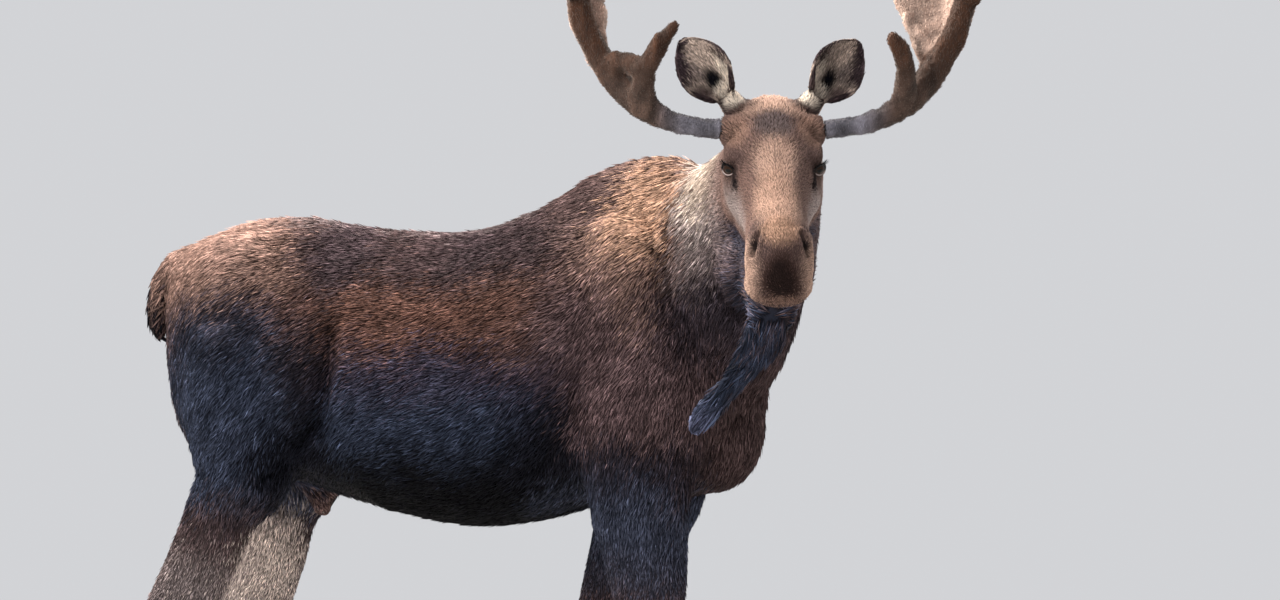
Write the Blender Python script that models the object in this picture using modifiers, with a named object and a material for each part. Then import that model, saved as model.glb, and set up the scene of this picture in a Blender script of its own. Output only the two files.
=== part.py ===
"""A bull moose in summer velvet, life size, as a still museum model.

Metres, +Z up. The body faces +X and its left side is +Y; the head is turned to its right and a
little down. Every piece is shaped about the point on the floor under the withers, and all of it is
moved at the end so that the origin is the middle of the model's footprint on the floor.
The flesh is lofted as overlapping forms, grown together into one body and parted by thin cuts.
"""

import math

import bmesh
import bpy
import numpy as np
from mathutils import Euler, Matrix, Vector

# ---------------------------------------------------------------- driving dimensions

HEAD_YAW = math.radians(-68.6)  # the way the face looks, from +X
HEAD_PITCH = math.radians(26.0)  # nose below the level
EYE_MIDDLE = Vector((0.458, -0.398, 1.761))  # between the eyes, the head frame's origin
EYE_SPREAD = 0.1005  # from the head's middle plane to the centre of an eyeball
EYE_RADIUS = 0.0215
CUT = 0.0005  # what a cut takes away between two nodes
GRAIN = 0.009  # voxel that grows the flesh together
ANTLER_GRAIN = 0.007
HOOF_LENGTH = 0.150
HOOF_WIDTH = 0.056
HOOF_HEEL_HEIGHT = 0.045
HOOF_GAP = 0.004  # half the cleft between the toes
CORONET_TILT = math.radians(20)  # the coronet is higher in front
EAR_LIFT = 0.036  # from the ear's root to where the ear leaves its stump

COLOURS = {
    "coat": ((0.045, 0.032, 0.030, 1), 0.75),
    "face": ((0.16, 0.095, 0.07, 1), 0.75),
    "velvet": ((0.15, 0.085, 0.055, 1), 0.85),
    "hoof": ((0.03, 0.027, 0.025, 1), 0.45),
    "eye": ((0.012, 0.008, 0.006, 1), 0.08),
}

# ---------------------------------------------------------------- helpers


def clear_scene():
    for old in list(bpy.data.objects):
        bpy.data.objects.remove(old)


def collection(name):
    made = bpy.data.collections.new(name)
    bpy.context.scene.collection.children.link(made)
    return made


def principled(name):
    """A plain material: base colour, roughness, no metal."""
    colour, roughness = COLOURS[name]
    made = bpy.data.materials.new(name)
    made.use_nodes = True
    shader = made.node_tree.nodes["Principled BSDF"]
    shader.inputs["Base Color"].default_value = colour
    shader.inputs["Roughness"].default_value = roughness
    shader.inputs["Metallic"].default_value = 0.0
    return made


def add_object(name, mesh, where):
    made = bpy.data.objects.new(name, mesh)
    where.objects.link(made)
    return made


def from_bmesh(name, bm, where):
    """An object of the mesh, its faces turned outwards."""
    bmesh.ops.recalc_face_normals(bm, faces=bm.faces)
    if bm.calc_volume(signed=True) < 0:
        bmesh.ops.reverse_faces(bm, faces=bm.faces)
    mesh = bpy.data.meshes.new(name)
    bm.to_mesh(mesh)
    bm.free()
    return add_object(name, mesh, where)


def apply_modifiers(obj):
    """Turns the object's evaluated shape into its mesh."""
    bpy.context.view_layer.update()
    evaluated = obj.evaluated_get(bpy.context.evaluated_depsgraph_get())
    mesh = bpy.data.meshes.new_from_object(evaluated)
    obj.modifiers.clear()
    obj.data = mesh
    return obj


def through(rows, steps):
    """Rows of numbers on a smooth curve through the given rows (Catmull-Rom), steps to a span."""
    rows = np.array(rows, float)
    ends = np.vstack([2 * rows[0] - rows[1], rows, 2 * rows[-1] - rows[-2]])
    made = []
    for i in range(len(rows) - 1):
        a, b, c, d = ends[i : i + 4]
        for t in np.arange(steps) / steps:
            made.append(
                b
                + 0.5 * t * (c - a)
                + t**2 * (a - 2.5 * b + 2 * c - 0.5 * d)
                + t**3 * (1.5 * b - 0.5 * a - 1.5 * c + 0.5 * d)
            )
    return np.vstack(made + [rows[-1]])


def power(value, exponent):
    return math.copysign(abs(value) ** exponent, value)


def ring_points(centre, side, up, width, above, below, upper=2.0, lower=2.0, count=28):
    """A closed section: a superellipse whose upper and lower halves differ in height and squareness."""
    points = []
    for i in range(count):
        angle = 2 * math.pi * i / count
        c, s = math.cos(angle), math.sin(angle)
        square = upper if c > 0 else lower
        reach = above if c > 0 else below
        points.append(
            centre + side * width * power(s, 2 / square) + up * reach * power(c, 2 / square)
        )
    return points


def bridge(name, rings, where):
    """A closed tube through the rings, with a fan at each end."""
    bm = bmesh.new()
    loops = [[bm.verts.new(p) for p in ring] for ring in rings]
    for a, b in zip(loops, loops[1:]):
        for i in range(len(a)):
            j = (i + 1) % len(a)
            bm.faces.new((a[i], a[j], b[j], b[i]))
    bm.faces.new(loops[0])
    bm.faces.new(reversed(loops[-1]))
    return from_bmesh(name, bm, where)


def loft_along_x(name, rows, where, steps=5):
    """Sections square to X, from rows of x, top, widest height, bottom, half width, upper, lower."""
    rings = [
        ring_points(
            Vector((x, 0, wide)),
            Vector((0, 1, 0)),
            Vector((0, 0, 1)),
            max(width, 0.004),
            top - wide,
            wide - bottom,
            upper,
            lower,
        )
        for x, top, wide, bottom, width, upper, lower in through(rows, steps)
    ]
    return bridge(name, rings, where)


def loft_along_path(name, rows, up_hint, where, steps=4, square=2.0):
    """Sections square to a path, from rows of x, y, z, reach along the hint, reach away, half width."""
    rows = through(rows, steps)
    rings = []
    for i, (x, y, z, above, below, width) in enumerate(rows):
        ahead = rows[min(i + 1, len(rows) - 1)][:3] - rows[max(i - 1, 0)][:3]
        along = Vector(ahead).normalized()
        side = along.cross(Vector(up_hint)).normalized()
        up = side.cross(along)
        rings.append(
            ring_points(Vector((x, y, z)), side, up, width, above, below, square, square)
        )
    return bridge(name, rings, where)


def ellipsoid(name, centre, radii, where, turn=(0, 0, 0)):
    bm = bmesh.new()
    bmesh.ops.create_uvsphere(bm, u_segments=24, v_segments=16, radius=1)
    place = (
        Matrix.Translation(centre)
        @ Euler([math.radians(t) for t in turn]).to_matrix().to_4x4()
        @ Matrix.Diagonal((*radii, 1))
    )
    bm.transform(place)
    return from_bmesh(name, bm, where)


def grow_together(name, forms, grain, rounds, where):
    """Joins overlapping forms into one skin, and rounds the joins."""
    bm = bmesh.new()
    for form in forms:
        form.data.transform(form.matrix_world)
        bm.from_mesh(form.data)
        bpy.data.objects.remove(form)
    made = from_bmesh(name, bm, where)
    remesh = made.modifiers.new("grow", "REMESH")
    remesh.mode = "VOXEL"
    remesh.voxel_size = grain
    smooth = made.modifiers.new("round", "SMOOTH")
    smooth.factor = 0.5
    smooth.iterations = rounds
    made.modifiers.new("triangles", "TRIANGULATE")
    return apply_modifiers(made)


def thin_out(obj, triangles):
    """Brings the mesh down to that many triangles."""
    triangulate = obj.modifiers.new("triangles", "TRIANGULATE")
    triangulate.min_vertices = 4
    apply_modifiers(obj)
    decimate = obj.modifiers.new("thin", "DECIMATE")
    decimate.ratio = triangles / len(obj.data.polygons)
    return apply_modifiers(obj)


def part_at(bm, centre, normal, radius):
    """Parts the flesh along a plane inside a ball, closes both sides and draws them apart."""
    centre, normal = Vector(centre), Vector(normal).normalized()
    near = {v for v in bm.verts if (v.co - centre).length < radius}
    faces = [f for f in {f for v in near for f in v.link_faces} if near.issuperset(f.verts)]
    edges = {e for f in faces for e in f.edges}
    verts = {v for f in faces for v in f.verts}
    cut = bmesh.ops.bisect_plane(
        bm, geom=[*verts, *edges, *faces], plane_co=centre, plane_no=normal, dist=1e-6
    )
    seam = [e for e in cut["geom_cut"] if isinstance(e, bmesh.types.BMEdge)]
    bmesh.ops.split_edges(bm, edges=seam)
    rim = [e for e in bm.edges if e.is_boundary]
    apart = {}
    for edge in rim:
        middle = edge.link_faces[0].calc_center_median()
        for vertex in edge.verts:
            apart[vertex] = math.copysign(CUT / 2, (middle - centre).dot(normal))
    for vertex, distance in apart.items():
        vertex.co += normal * distance
    caps = bmesh.ops.holes_fill(bm, edges=rim)
    bmesh.ops.triangulate(bm, faces=caps["faces"])


def boolean(obj, cutter, operation="DIFFERENCE"):
    modifier = obj.modifiers.new("cut", "BOOLEAN")
    modifier.operation = operation
    modifier.object = cutter
    modifier.solver = "EXACT"
    apply_modifiers(obj)
    bpy.data.objects.remove(cutter)
    return obj


def part_in_pieces(obj, cuts, labels, where):
    """Makes the cuts, then names each piece by the nearest label point; scraps are left out."""
    bm = bmesh.new()
    bm.from_mesh(obj.data)
    bpy.data.objects.remove(obj)
    for cut in cuts:
        part_at(bm, *cut)
    left = set(bm.verts)
    largest = {}
    while left:
        island, edge = set(), [left.pop()]
        while edge:
            vertex = edge.pop()
            island.add(vertex)
            near = {e.other_vert(vertex) for e in vertex.link_edges} & left
            left -= near
            edge.extend(near)
        middle = sum((v.co for v in island), Vector()) / len(island)
        name = min(labels, key=lambda n: (Vector(labels[n]) - middle).length)
        if len(island) > len(largest.get(name, ())):
            largest[name] = island
    bm.verts.index_update()
    kept = {name: {v.index for v in island} for name, island in largest.items()}
    for name, keep in kept.items():
        if name.startswith("scrap"):
            continue
        copy = bm.copy()
        copy.verts.ensure_lookup_table()
        apart = [v for v in copy.verts if v.index not in keep]
        bmesh.ops.delete(copy, geom=apart, context="VERTS")
        from_bmesh(name, copy, where)
    bm.free()


# ---------------------------------------------------------------- the head's frame

HEAD = (
    Matrix.Translation(EYE_MIDDLE)
    @ Matrix.Rotation(HEAD_YAW, 4, "Z")
    @ Matrix.Rotation(HEAD_PITCH, 4, "Y")
)
LEVEL_HEAD = Matrix.Translation(EYE_MIDDLE) @ Matrix.Rotation(HEAD_YAW, 4, "Z")


# ---------------------------------------------------------------- flesh: trunk and neck

# x, top, widest height, bottom, half width, squareness above and below
TRUNK = (
    (-1.252, 1.530, 1.39, 1.23, 0.070, 2.0, 2.0),
    (-1.215, 1.574, 1.36, 1.09, 0.155, 2.0, 2.0),
    (-1.13, 1.614, 1.33, 1.02, 0.212, 1.9, 2.0),
    (-1.02, 1.646, 1.28, 1.01, 0.245, 1.8, 2.0),
    (-0.90, 1.652, 1.24, 0.985, 0.258, 1.75, 2.1),
    (-0.78, 1.632, 1.21, 0.955, 0.268, 1.75, 2.2),
    (-0.62, 1.615, 1.18, 0.912, 0.290, 1.75, 2.2),
    (-0.45, 1.617, 1.16, 0.886, 0.300, 1.75, 2.2),
    (-0.28, 1.672, 1.17, 0.902, 0.288, 1.7, 2.1),
    (-0.13, 1.762, 1.19, 0.940, 0.262, 1.6, 2.0),
    (0.00, 1.800, 1.20, 0.950, 0.235, 1.55, 2.0),
    (0.08, 1.797, 1.20, 0.955, 0.212, 1.55, 2.0),
    (0.16, 1.760, 1.20, 0.985, 0.182, 1.7, 2.0),
    (0.235, 1.680, 1.21, 1.055, 0.140, 1.9, 2.0),
    (0.285, 1.560, 1.22, 1.140, 0.070, 2.0, 2.0),
)

# x, y, z, reach to the crest, reach to the throat, half width
NECK = (
    (-0.02, 0.000, 1.38, 0.36, 0.34, 0.190),
    (0.11, -0.010, 1.46, 0.31, 0.32, 0.178),
    (0.225, -0.060, 1.57, 0.23, 0.290, 0.158),
    (0.33, -0.140, 1.68, 0.165, 0.235, 0.140),
    (0.395, -0.225, 1.77, 0.120, 0.170, 0.120),
    (0.42, -0.300, 1.79, 0.085, 0.120, 0.100),
)

# x, y, z, reach to each side, half thickness
BELL = (
    (0.425, -0.285, 1.590, 0.085, 0.085, 0.085),
    (0.425, -0.300, 1.520, 0.080, 0.080, 0.065),
    (0.428, -0.318, 1.430, 0.064, 0.064, 0.034),
    (0.408, -0.325, 1.355, 0.056, 0.056, 0.028),
    (0.352, -0.335, 1.270, 0.036, 0.036, 0.024),
    (0.318, -0.340, 1.228, 0.031, 0.031, 0.023),
    (0.285, -0.345, 1.190, 0.034, 0.034, 0.023),
    (0.250, -0.350, 1.150, 0.036, 0.036, 0.020),
    (0.225, -0.352, 1.115, 0.018, 0.018, 0.012),
)

TAIL = (
    (-1.180, 0.0, 1.545, 0.045, 0.045, 0.055),
    (-1.255, 0.0, 1.528, 0.038, 0.038, 0.048),
    (-1.293, 0.0, 1.465, 0.032, 0.032, 0.044),
    (-1.304, 0.0, 1.388, 0.028, 0.028, 0.038),
    (-1.299, 0.0, 1.338, 0.012, 0.012, 0.016),
)

SHEATH = (
    (-0.900, 0.0, 1.080, 0.070, 0.070, 0.060),
    (-0.880, 0.0, 1.010, 0.062, 0.062, 0.050),
    (-0.868, 0.0, 0.955, 0.036, 0.036, 0.034),
    (-0.862, 0.0, 0.905, 0.018, 0.018, 0.018),
)


def trunk_forms(where):
    forms = [
        loft_along_x("trunk_form", TRUNK, where),
        loft_along_path("neck_form", NECK, (0, 0, 1), where, steps=5),
        loft_along_path("bell_form", BELL, (-0.94, -0.34, 0), where),
        loft_along_path("tail_form", TAIL, (1, 0, 0), where),
        loft_along_path("sheath_form", SHEATH, (1, 0, 0), where),
        ellipsoid("throat_form", (0.370, -0.210, 1.525), (0.128, 0.105, 0.125), where),
        ellipsoid("brisket_form", (0.165, 0, 1.13), (0.130, 0.110, 0.160), where),
    ]
    for side in (-1, 1):
        forms += [
            ellipsoid(
                "blade_form", (0.0, side * 0.135, 1.38), (0.15, 0.09, 0.27), where, (0, -12, 0)
            ),
            ellipsoid("triceps_form", (0.0, side * 0.155, 1.15), (0.17, 0.09, 0.17), where),
            ellipsoid("croup_form", (-1.04, side * 0.10, 1.44), (0.17, 0.125, 0.17), where),
            ellipsoid("flank_form", (-0.80, side * 0.17, 1.10), (0.15, 0.07, 0.08), where),
        ]
    return forms


# ---------------------------------------------------------------- flesh: legs

# Along the leg's joints: joint number and fraction, reach forward, reach back, half width.
# Fore joints: 0 blade, 1 elbow, 2 knee, 3 fetlock, 4 coronet.
FORE_SECTIONS = (
    (0.0, 0.15, 0.14, 0.10),
    (0.5, 0.17, 0.16, 0.115),
    (1.0, 0.135, 0.135, 0.098),
    (1.25, 0.115, 0.115, 0.082),
    (1.5, 0.100, 0.098, 0.072),
    (1.75, 0.082, 0.084, 0.062),
    (1.9, 0.070, 0.070, 0.056),
    (2.0, 0.067, 0.062, 0.056),
    (2.15, 0.049, 0.053, 0.044),
    (2.4, 0.036, 0.042, 0.033),
    (2.75, 0.037, 0.043, 0.034),
    (3.0, 0.044, 0.053, 0.043),
    (3.4, 0.040, 0.046, 0.043),
    (4.0, 0.052, 0.052, 0.058),
    (4.3, 0.050, 0.050, 0.056),
)
# Hind joints: 0 hip, 1 stifle level of the thigh, 2 hock, 3 fetlock, 4 coronet.
HIND_SECTIONS = (
    (0.0, 0.16, 0.15, 0.13),
    (0.5, 0.175, 0.165, 0.125),
    (1.0, 0.105, 0.140, 0.100),
    (1.22, 0.066, 0.125, 0.082),
    (1.5, 0.076, 0.106, 0.068),
    (1.75, 0.078, 0.100, 0.057),
    (1.92, 0.066, 0.094, 0.052),
    (2.08, 0.056, 0.070, 0.048),
    (2.25, 0.045, 0.050, 0.040),
    (2.5, 0.037, 0.041, 0.033),
    (2.8, 0.038, 0.042, 0.034),
    (3.0, 0.044, 0.052, 0.043),
    (3.4, 0.040, 0.046, 0.043),
    (4.0, 0.052, 0.052, 0.058),
    (4.3, 0.050, 0.050, 0.056),
)

LEGS = {
    "fore_right": (
        FORE_SECTIONS,
        (
            (0.05, -0.120, 1.36),
            (0.035, -0.175, 0.97),
            (0.078, -0.172, 0.565),
            (0.075, -0.170, 0.205),
            (0.110, -0.170, 0.090),
        ),
    ),
    "fore_left": (
        FORE_SECTIONS,
        (
            (0.00, 0.120, 1.36),
            (-0.060, 0.175, 0.97),
            (-0.205, 0.172, 0.575),
            (-0.285, 0.170, 0.205),
            (-0.255, 0.170, 0.090),
        ),
    ),
    "hind_right": (
        HIND_SECTIONS,
        (
            (-1.02, -0.120, 1.36),
            (-0.990, -0.165, 1.00),
            (-1.200, -0.175, 0.610),
            (-1.165, -0.175, 0.205),
            (-1.125, -0.175, 0.090),
        ),
    ),
    "hind_left": (
        HIND_SECTIONS,
        (
            (-1.02, 0.120, 1.36),
            (-0.985, 0.165, 1.00),
            (-1.130, 0.175, 0.610),
            (-1.090, 0.175, 0.205),
            (-1.050, 0.175, 0.090),
        ),
    ),
}


def along_joints(joints, at):
    """The point at a joint number and fraction; past the last joint it runs straight on."""
    joints = np.array(joints, float)
    base = min(int(at), len(joints) - 2)
    return joints[base] + (joints[base + 1] - joints[base]) * (at - base)


def leg_form(name, where):
    sections, joints = LEGS[name]
    rows = [(*along_joints(joints, at), *sizes) for at, *sizes in sections]
    return loft_along_path(f"{name}_form", rows, (1, 0, 0), where, steps=4)


# ---------------------------------------------------------------- flesh: head

# Along the head, nose ahead: x, top, widest height, bottom, half width, squareness above and below
SKULL = (
    (-0.265, 0.035, -0.03, -0.080, 0.045, 2.0, 2.0),
    (-0.235, 0.078, -0.03, -0.130, 0.082, 2.0, 2.0),
    (-0.17, 0.108, -0.03, -0.160, 0.106, 2.2, 2.0),
    (-0.10, 0.112, -0.04, -0.165, 0.117, 2.3, 2.0),
    (-0.03, 0.100, -0.05, -0.165, 0.121, 2.4, 2.0),
    (0.04, 0.080, -0.06, -0.160, 0.110, 2.4, 2.0),
    (0.12, 0.062, -0.06, -0.145, 0.087, 2.4, 2.0),
    (0.20, 0.050, -0.06, -0.130, 0.073, 2.5, 2.1),
    (0.28, 0.046, -0.06, -0.128, 0.071, 2.5, 2.2),
    (0.35, 0.048, -0.06, -0.140, 0.078, 2.4, 2.3),
    (0.41, 0.038, -0.06, -0.155, 0.081, 2.4, 2.4),
    (0.455, 0.008, -0.07, -0.156, 0.072, 2.3, 2.4),
    (0.484, -0.035, -0.08, -0.130, 0.045, 2.0, 2.0),
)
JAW = (
    (-0.22, -0.07, -0.12, -0.185, 0.050, 2.0, 2.0),
    (-0.16, -0.05, -0.13, -0.222, 0.090, 2.0, 2.0),
    (-0.06, -0.05, -0.13, -0.228, 0.100, 2.0, 2.0),
    (0.04, -0.07, -0.13, -0.208, 0.084, 2.0, 2.0),
    (0.14, -0.09, -0.13, -0.186, 0.058, 2.0, 2.0),
    (0.24, -0.10, -0.14, -0.174, 0.046, 2.0, 2.0),
    (0.33, -0.11, -0.14, -0.178, 0.046, 2.0, 2.0),
    (0.385, -0.12, -0.150, -0.180, 0.040, 2.0, 2.0),
    (0.415, -0.140, -0.155, -0.172, 0.024, 2.0, 2.0),
)
EAR_ROOT = Vector((-0.185, 0.085, 0.066))  # in the head's frame, on its left
EAR_TIPS = {1: Vector((-0.296, 0.200, 0.208)), -1: Vector((-0.298, -0.205, 0.212))}
EAR_FACING = Vector((0.85, 0.30, 0.42))  # the way the open side looks
PEDICLE_ROOT = Vector((-0.095, 0.060, 0.048))
PEDICLE_TIP = Vector((-0.100, 0.128, 0.056))


def mirrored(vector, side):
    return Vector((vector[0], vector[1] * side, vector[2]))


def head_forms(where):
    forms = [
        loft_along_x("skull_form", SKULL, where),
        loft_along_x("jaw_form", JAW, where),
    ]
    for side in (-1, 1):
        ear_root, ear_tip = mirrored(EAR_ROOT, side), EAR_TIPS[side]
        ear_up = (ear_tip - ear_root).normalized()
        stub = [
            (*(ear_root + ear_up * h), r, r, r)
            for h, r in ((-0.04, 0.035), (0.02, 0.031), (0.05, 0.026))
        ]
        pedicle_root, pedicle_tip = mirrored(PEDICLE_ROOT, side), mirrored(PEDICLE_TIP, side)
        out = (pedicle_tip - pedicle_root).normalized()
        pedicle = [
            (*(pedicle_root + out * h), r, r, r)
            for h, r in ((0.0, 0.040), (0.045, 0.036), (0.085, 0.029))
        ]
        forms += [
            ellipsoid("brow_form", (-0.010, side * 0.094, 0.026), (0.042, 0.026, 0.022), where),
            ellipsoid("lid_form", (0.004, side * 0.097, -0.016), (0.034, 0.022, 0.016), where),
            ellipsoid("cheek_form", (-0.080, side * 0.078, -0.100), (0.095, 0.045, 0.085), where),
            ellipsoid("nostril_form", (0.385, side * 0.050, -0.014), (0.044, 0.031, 0.036), where),
            ellipsoid("lip_form", (0.385, side * 0.042, -0.120), (0.070, 0.038, 0.045), where),
            loft_along_path("ear_stub_form", stub, (1, 0, 0), where),
            loft_along_path("pedicle_form", pedicle, (1, 0, 0), where),
        ]
    for form in forms:
        form.data.transform(HEAD)
    return forms


# ---------------------------------------------------------------- ears, eyes

# Share of the length, width along the curve, angle that the curve turns through, shift outward
EAR_SECTIONS = (
    (0.0, 0.122, 280, 0.0),
    (0.15, 0.150, 200, 0.0),
    (0.30, 0.168, 152, 0.0),
    (0.50, 0.160, 122, 0.002),
    (0.68, 0.128, 98, 0.006),
    (0.84, 0.082, 72, 0.011),
    (0.94, 0.045, 50, 0.014),
    (1.0, 0.014, 30, 0.016),
)
EAR_THICK = 0.009
EAR_COLUMNS = 7


def ear(name, side, where):
    """A cupped leaf: curved strips across, wide in the middle and nearly closed at its root."""
    root, tip = mirrored(EAR_ROOT, side), EAR_TIPS[side]
    along = (tip - root).normalized()
    facing = mirrored(EAR_FACING, side)
    facing = (facing - along * facing.dot(along)).normalized()
    across = along.cross(facing)
    outer = math.copysign(1, across.y * side)
    start = root + along * (EAR_LIFT - 0.006)
    bm = bmesh.new()
    rows = []
    for share, width, turn, lean in through(EAR_SECTIONS, 2):
        turn = math.radians(turn)
        radius = width / turn
        middle = start + (tip - start) * share + facing * radius + across * lean * outer
        row = []
        for i in range(EAR_COLUMNS):
            angle = turn * (i / (EAR_COLUMNS - 1) - 0.5)
            point = middle + across * radius * math.sin(angle) - facing * radius * math.cos(angle)
            row.append(bm.verts.new(point))
        rows.append(row)
    for a, b in zip(rows, rows[1:]):
        for i in range(EAR_COLUMNS - 1):
            bm.faces.new((a[i], a[i + 1], b[i + 1], b[i]))
    bm.transform(HEAD)
    made = from_bmesh(name, bm, where)
    solidify = made.modifiers.new("thickness", "SOLIDIFY")
    solidify.thickness = EAR_THICK
    solidify.offset = 0
    apply_modifiers(made)
    flat = HEAD.to_3x3() @ along
    below = HEAD @ (start + along * 0.006)
    return keep_beyond(made, below, flat)


def keep_beyond(obj, point, normal):
    """Keeps what lies beyond the plane, and closes the cut."""
    bm = bmesh.new()
    bm.from_mesh(obj.data)
    cut = bmesh.ops.bisect_plane(
        bm,
        geom=bm.verts[:] + bm.edges[:] + bm.faces[:],
        plane_co=point,
        plane_no=normal,
        clear_inner=True,
    )
    edges = [e for e in cut["geom_cut"] if isinstance(e, bmesh.types.BMEdge)]
    bmesh.ops.holes_fill(bm, edges=edges)
    bmesh.ops.triangulate(bm, faces=bm.faces)
    bmesh.ops.recalc_face_normals(bm, faces=bm.faces)
    bm.to_mesh(obj.data)
    bm.free()
    return obj


def eye(name, side, where, radius=EYE_RADIUS):
    bm = bmesh.new()
    bmesh.ops.create_icosphere(bm, subdivisions=2, radius=radius)
    bm.transform(HEAD @ Matrix.Translation((0.004, side * EYE_SPREAD, 0.0)))
    return from_bmesh(name, bm, where)


# ---------------------------------------------------------------- antlers

# In the level head frame, for its left: forward, outward, up, then the reach each way and half width.
BEAM = (
    (-0.060, 0.106, 0.088, 0.027, 0.027, 0.027),
    (-0.062, 0.184, 0.096, 0.026, 0.026, 0.026),
    (-0.065, 0.254, 0.114, 0.027, 0.027, 0.028),
    (-0.070, 0.319, 0.150, 0.031, 0.031, 0.033),
    (-0.085, 0.369, 0.205, 0.030, 0.030, 0.036),
    (-0.105, 0.414, 0.270, 0.029, 0.029, 0.034),
    (-0.120, 0.449, 0.340, 0.028, 0.028, 0.032),
    (-0.135, 0.466, 0.420, 0.026, 0.026, 0.029),
    (-0.155, 0.471, 0.510, 0.022, 0.022, 0.026),
    (-0.175, 0.464, 0.600, 0.017, 0.017, 0.021),
    (-0.190, 0.449, 0.680, 0.010, 0.010, 0.014),
)
BROW_TINES = {
    1: (
        (-0.062, 0.289, 0.130, 0.024, 0.024, 0.026),
        (-0.035, 0.317, 0.180, 0.024, 0.024, 0.027),
        (0.000, 0.317, 0.230, 0.022, 0.022, 0.023),
        (0.030, 0.301, 0.280, 0.019, 0.019, 0.020),
        (0.045, 0.277, 0.318, 0.012, 0.012, 0.013),
    ),
    -1: (
        (-0.062, 0.285, 0.130, 0.024, 0.024, 0.026),
        (-0.035, 0.310, 0.185, 0.025, 0.025, 0.030),
        (0.000, 0.298, 0.245, 0.022, 0.022, 0.025),
        (0.030, 0.266, 0.302, 0.019, 0.019, 0.021),
        (0.048, 0.226, 0.344, 0.011, 0.011, 0.012),
    ),
}
# The palm's front rim follows the beam; its rear edge is this line, from the fork up.
PALM_REARS = {
    1: (
        (-0.085, 0.359, 0.225),
        (-0.135, 0.334, 0.310),
        (-0.200, 0.301, 0.403),
        (-0.260, 0.284, 0.500),
        (-0.300, 0.289, 0.590),
        (-0.310, 0.319, 0.670),
    ),
    -1: (
        (-0.095, 0.372, 0.225),
        (-0.170, 0.392, 0.310),
        (-0.255, 0.396, 0.403),
        (-0.325, 0.382, 0.500),
        (-0.370, 0.370, 0.590),
        (-0.385, 0.375, 0.670),
    ),
}
FLARES = {1: 1.0, -1: 1.004}
# Where the brow tine and the palm part from the beam.
ANTLER_CUTS = (
    ((-0.022, 0.312, 0.225), (0.30, -0.75, 0.50), 0.068),
    ((-0.085, 0.369, 0.205), (-0.10, 0.55, 0.83), 0.075),
)
ANTLER_LABELS = {
    "beam": (-0.065, 0.23, 0.12),
    "brow_tine": (0.0, 0.30, 0.26),
    "palm": (-0.19, 0.40, 0.50),
}
ANTLER_BUDGETS = {"beam": 160, "brow_tine": 100, "palm": 740}
PALM_THICK = 0.024
PALM_LENGTH = 0.39
PALM_CUP = 0.050  # how far the palm bows out and back between its edges
BEYOND = 0.20  # metres to a unit outside the rims
# The palm's outline: share of its length, and of its width from the front rim to the rear one.
PALM_OUTLINE = (
    (-0.02, 0.05),
    (0.20, -0.06),
    (0.40, -0.08),
    (0.51, -0.34),
    (0.61, -0.58),
    (0.67, -0.50),
    (0.62, -0.24),
    (0.64, -0.03),
    (0.73, -0.07),
    (0.84, -0.38),
    (0.97, -0.66),
    (1.04, -0.58),
    (0.98, -0.26),
    (0.93, 0.00),
    (1.02, -0.06),
    (1.20, -0.30),
    (1.36, -0.46),
    (1.40, -0.34),
    (1.24, -0.04),
    (1.06, 0.14),
    (1.00, 0.26),
    (1.16, 0.26),
    (1.40, 0.22),
    (1.43, 0.36),
    (1.20, 0.44),
    (1.00, 0.50),
    (0.98, 0.60),
    (1.14, 0.68),
    (1.33, 0.80),
    (1.30, 0.94),
    (1.08, 0.86),
    (0.92, 0.84),
    (0.94, 1.04),
    (1.04, 1.36),
    (0.98, 1.48),
    (0.86, 1.22),
    (0.76, 1.02),
    (0.50, 1.04),
    (0.25, 1.00),
    (0.05, 0.95),
)


def outward(rows, side):
    """Rows of forward, outward, up and sizes, as x, y, z for that side of the head."""
    return [(r[0], r[1] * side * FLARES[side], *r[2:]) for r in rows]


def along_curve(points, share):
    """The point at a share of an evenly stepped curve; beyond its ends it runs straight on."""
    at = share * (len(points) - 1)
    base = min(max(int(at), 0), len(points) - 2)
    return points[base] + (points[base + 1] - points[base]) * (at - base)


def palm_blade(name, side, where):
    """The outline filled, bowed like a cupped hand between the beam and the rear edge, and thickened."""
    front = through([row[:3] for row in outward(BEAM, side)[4:]], 4)
    rear = through(outward(PALM_REARS[side], side), 4)
    closed = through([*PALM_OUTLINE, PALM_OUTLINE[0]], 3)[:-1]
    bm = bmesh.new()
    bm.faces.new([bm.verts.new((t, w, 0)) for t, w in closed])
    bm.normal_update()
    bmesh.ops.triangulate(bm, faces=bm.faces, ngon_method="EAR_CLIP")
    for _ in range(3):
        long = [e for e in bm.edges if e.calc_length() > 0.12]
        bmesh.ops.subdivide_edges(bm, edges=long, cuts=1)
        bmesh.ops.triangulate(bm, faces=bm.faces)
    for vertex in bm.verts:
        t, w = vertex.co.x, vertex.co.y
        inside = min(max(w, 0.0), 1.0)
        a, b = along_curve(front, min(t, 1.0)), along_curve(rear, min(t, 1.0))
        rise = (front[-1] - front[-3] + rear[-1] - rear[-3]) * np.array((0.5, 0.5, 1.0))
        rise *= max(t - 1.0, 0.0) * PALM_LENGTH / np.linalg.norm(rise)
        sideways = (b - a) / np.linalg.norm(b - a) * (w - inside) * BEYOND
        bow = PALM_CUP * min(1.0, 0.3 + 2 * max(t, 0.0)) * 4 * inside * (1 - inside)
        curl = 0.45 * BEYOND * (w - inside) ** 2
        out = np.array((-0.55, 0.8 * side, 0.0)) * (bow - curl)
        vertex.co = Vector(a + (b - a) * inside + sideways + rise + out)
    made = from_bmesh(name, bm, where)
    solidify = made.modifiers.new("thickness", "SOLIDIFY")
    solidify.thickness = PALM_THICK
    solidify.offset = 0
    return apply_modifiers(made)


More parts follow.
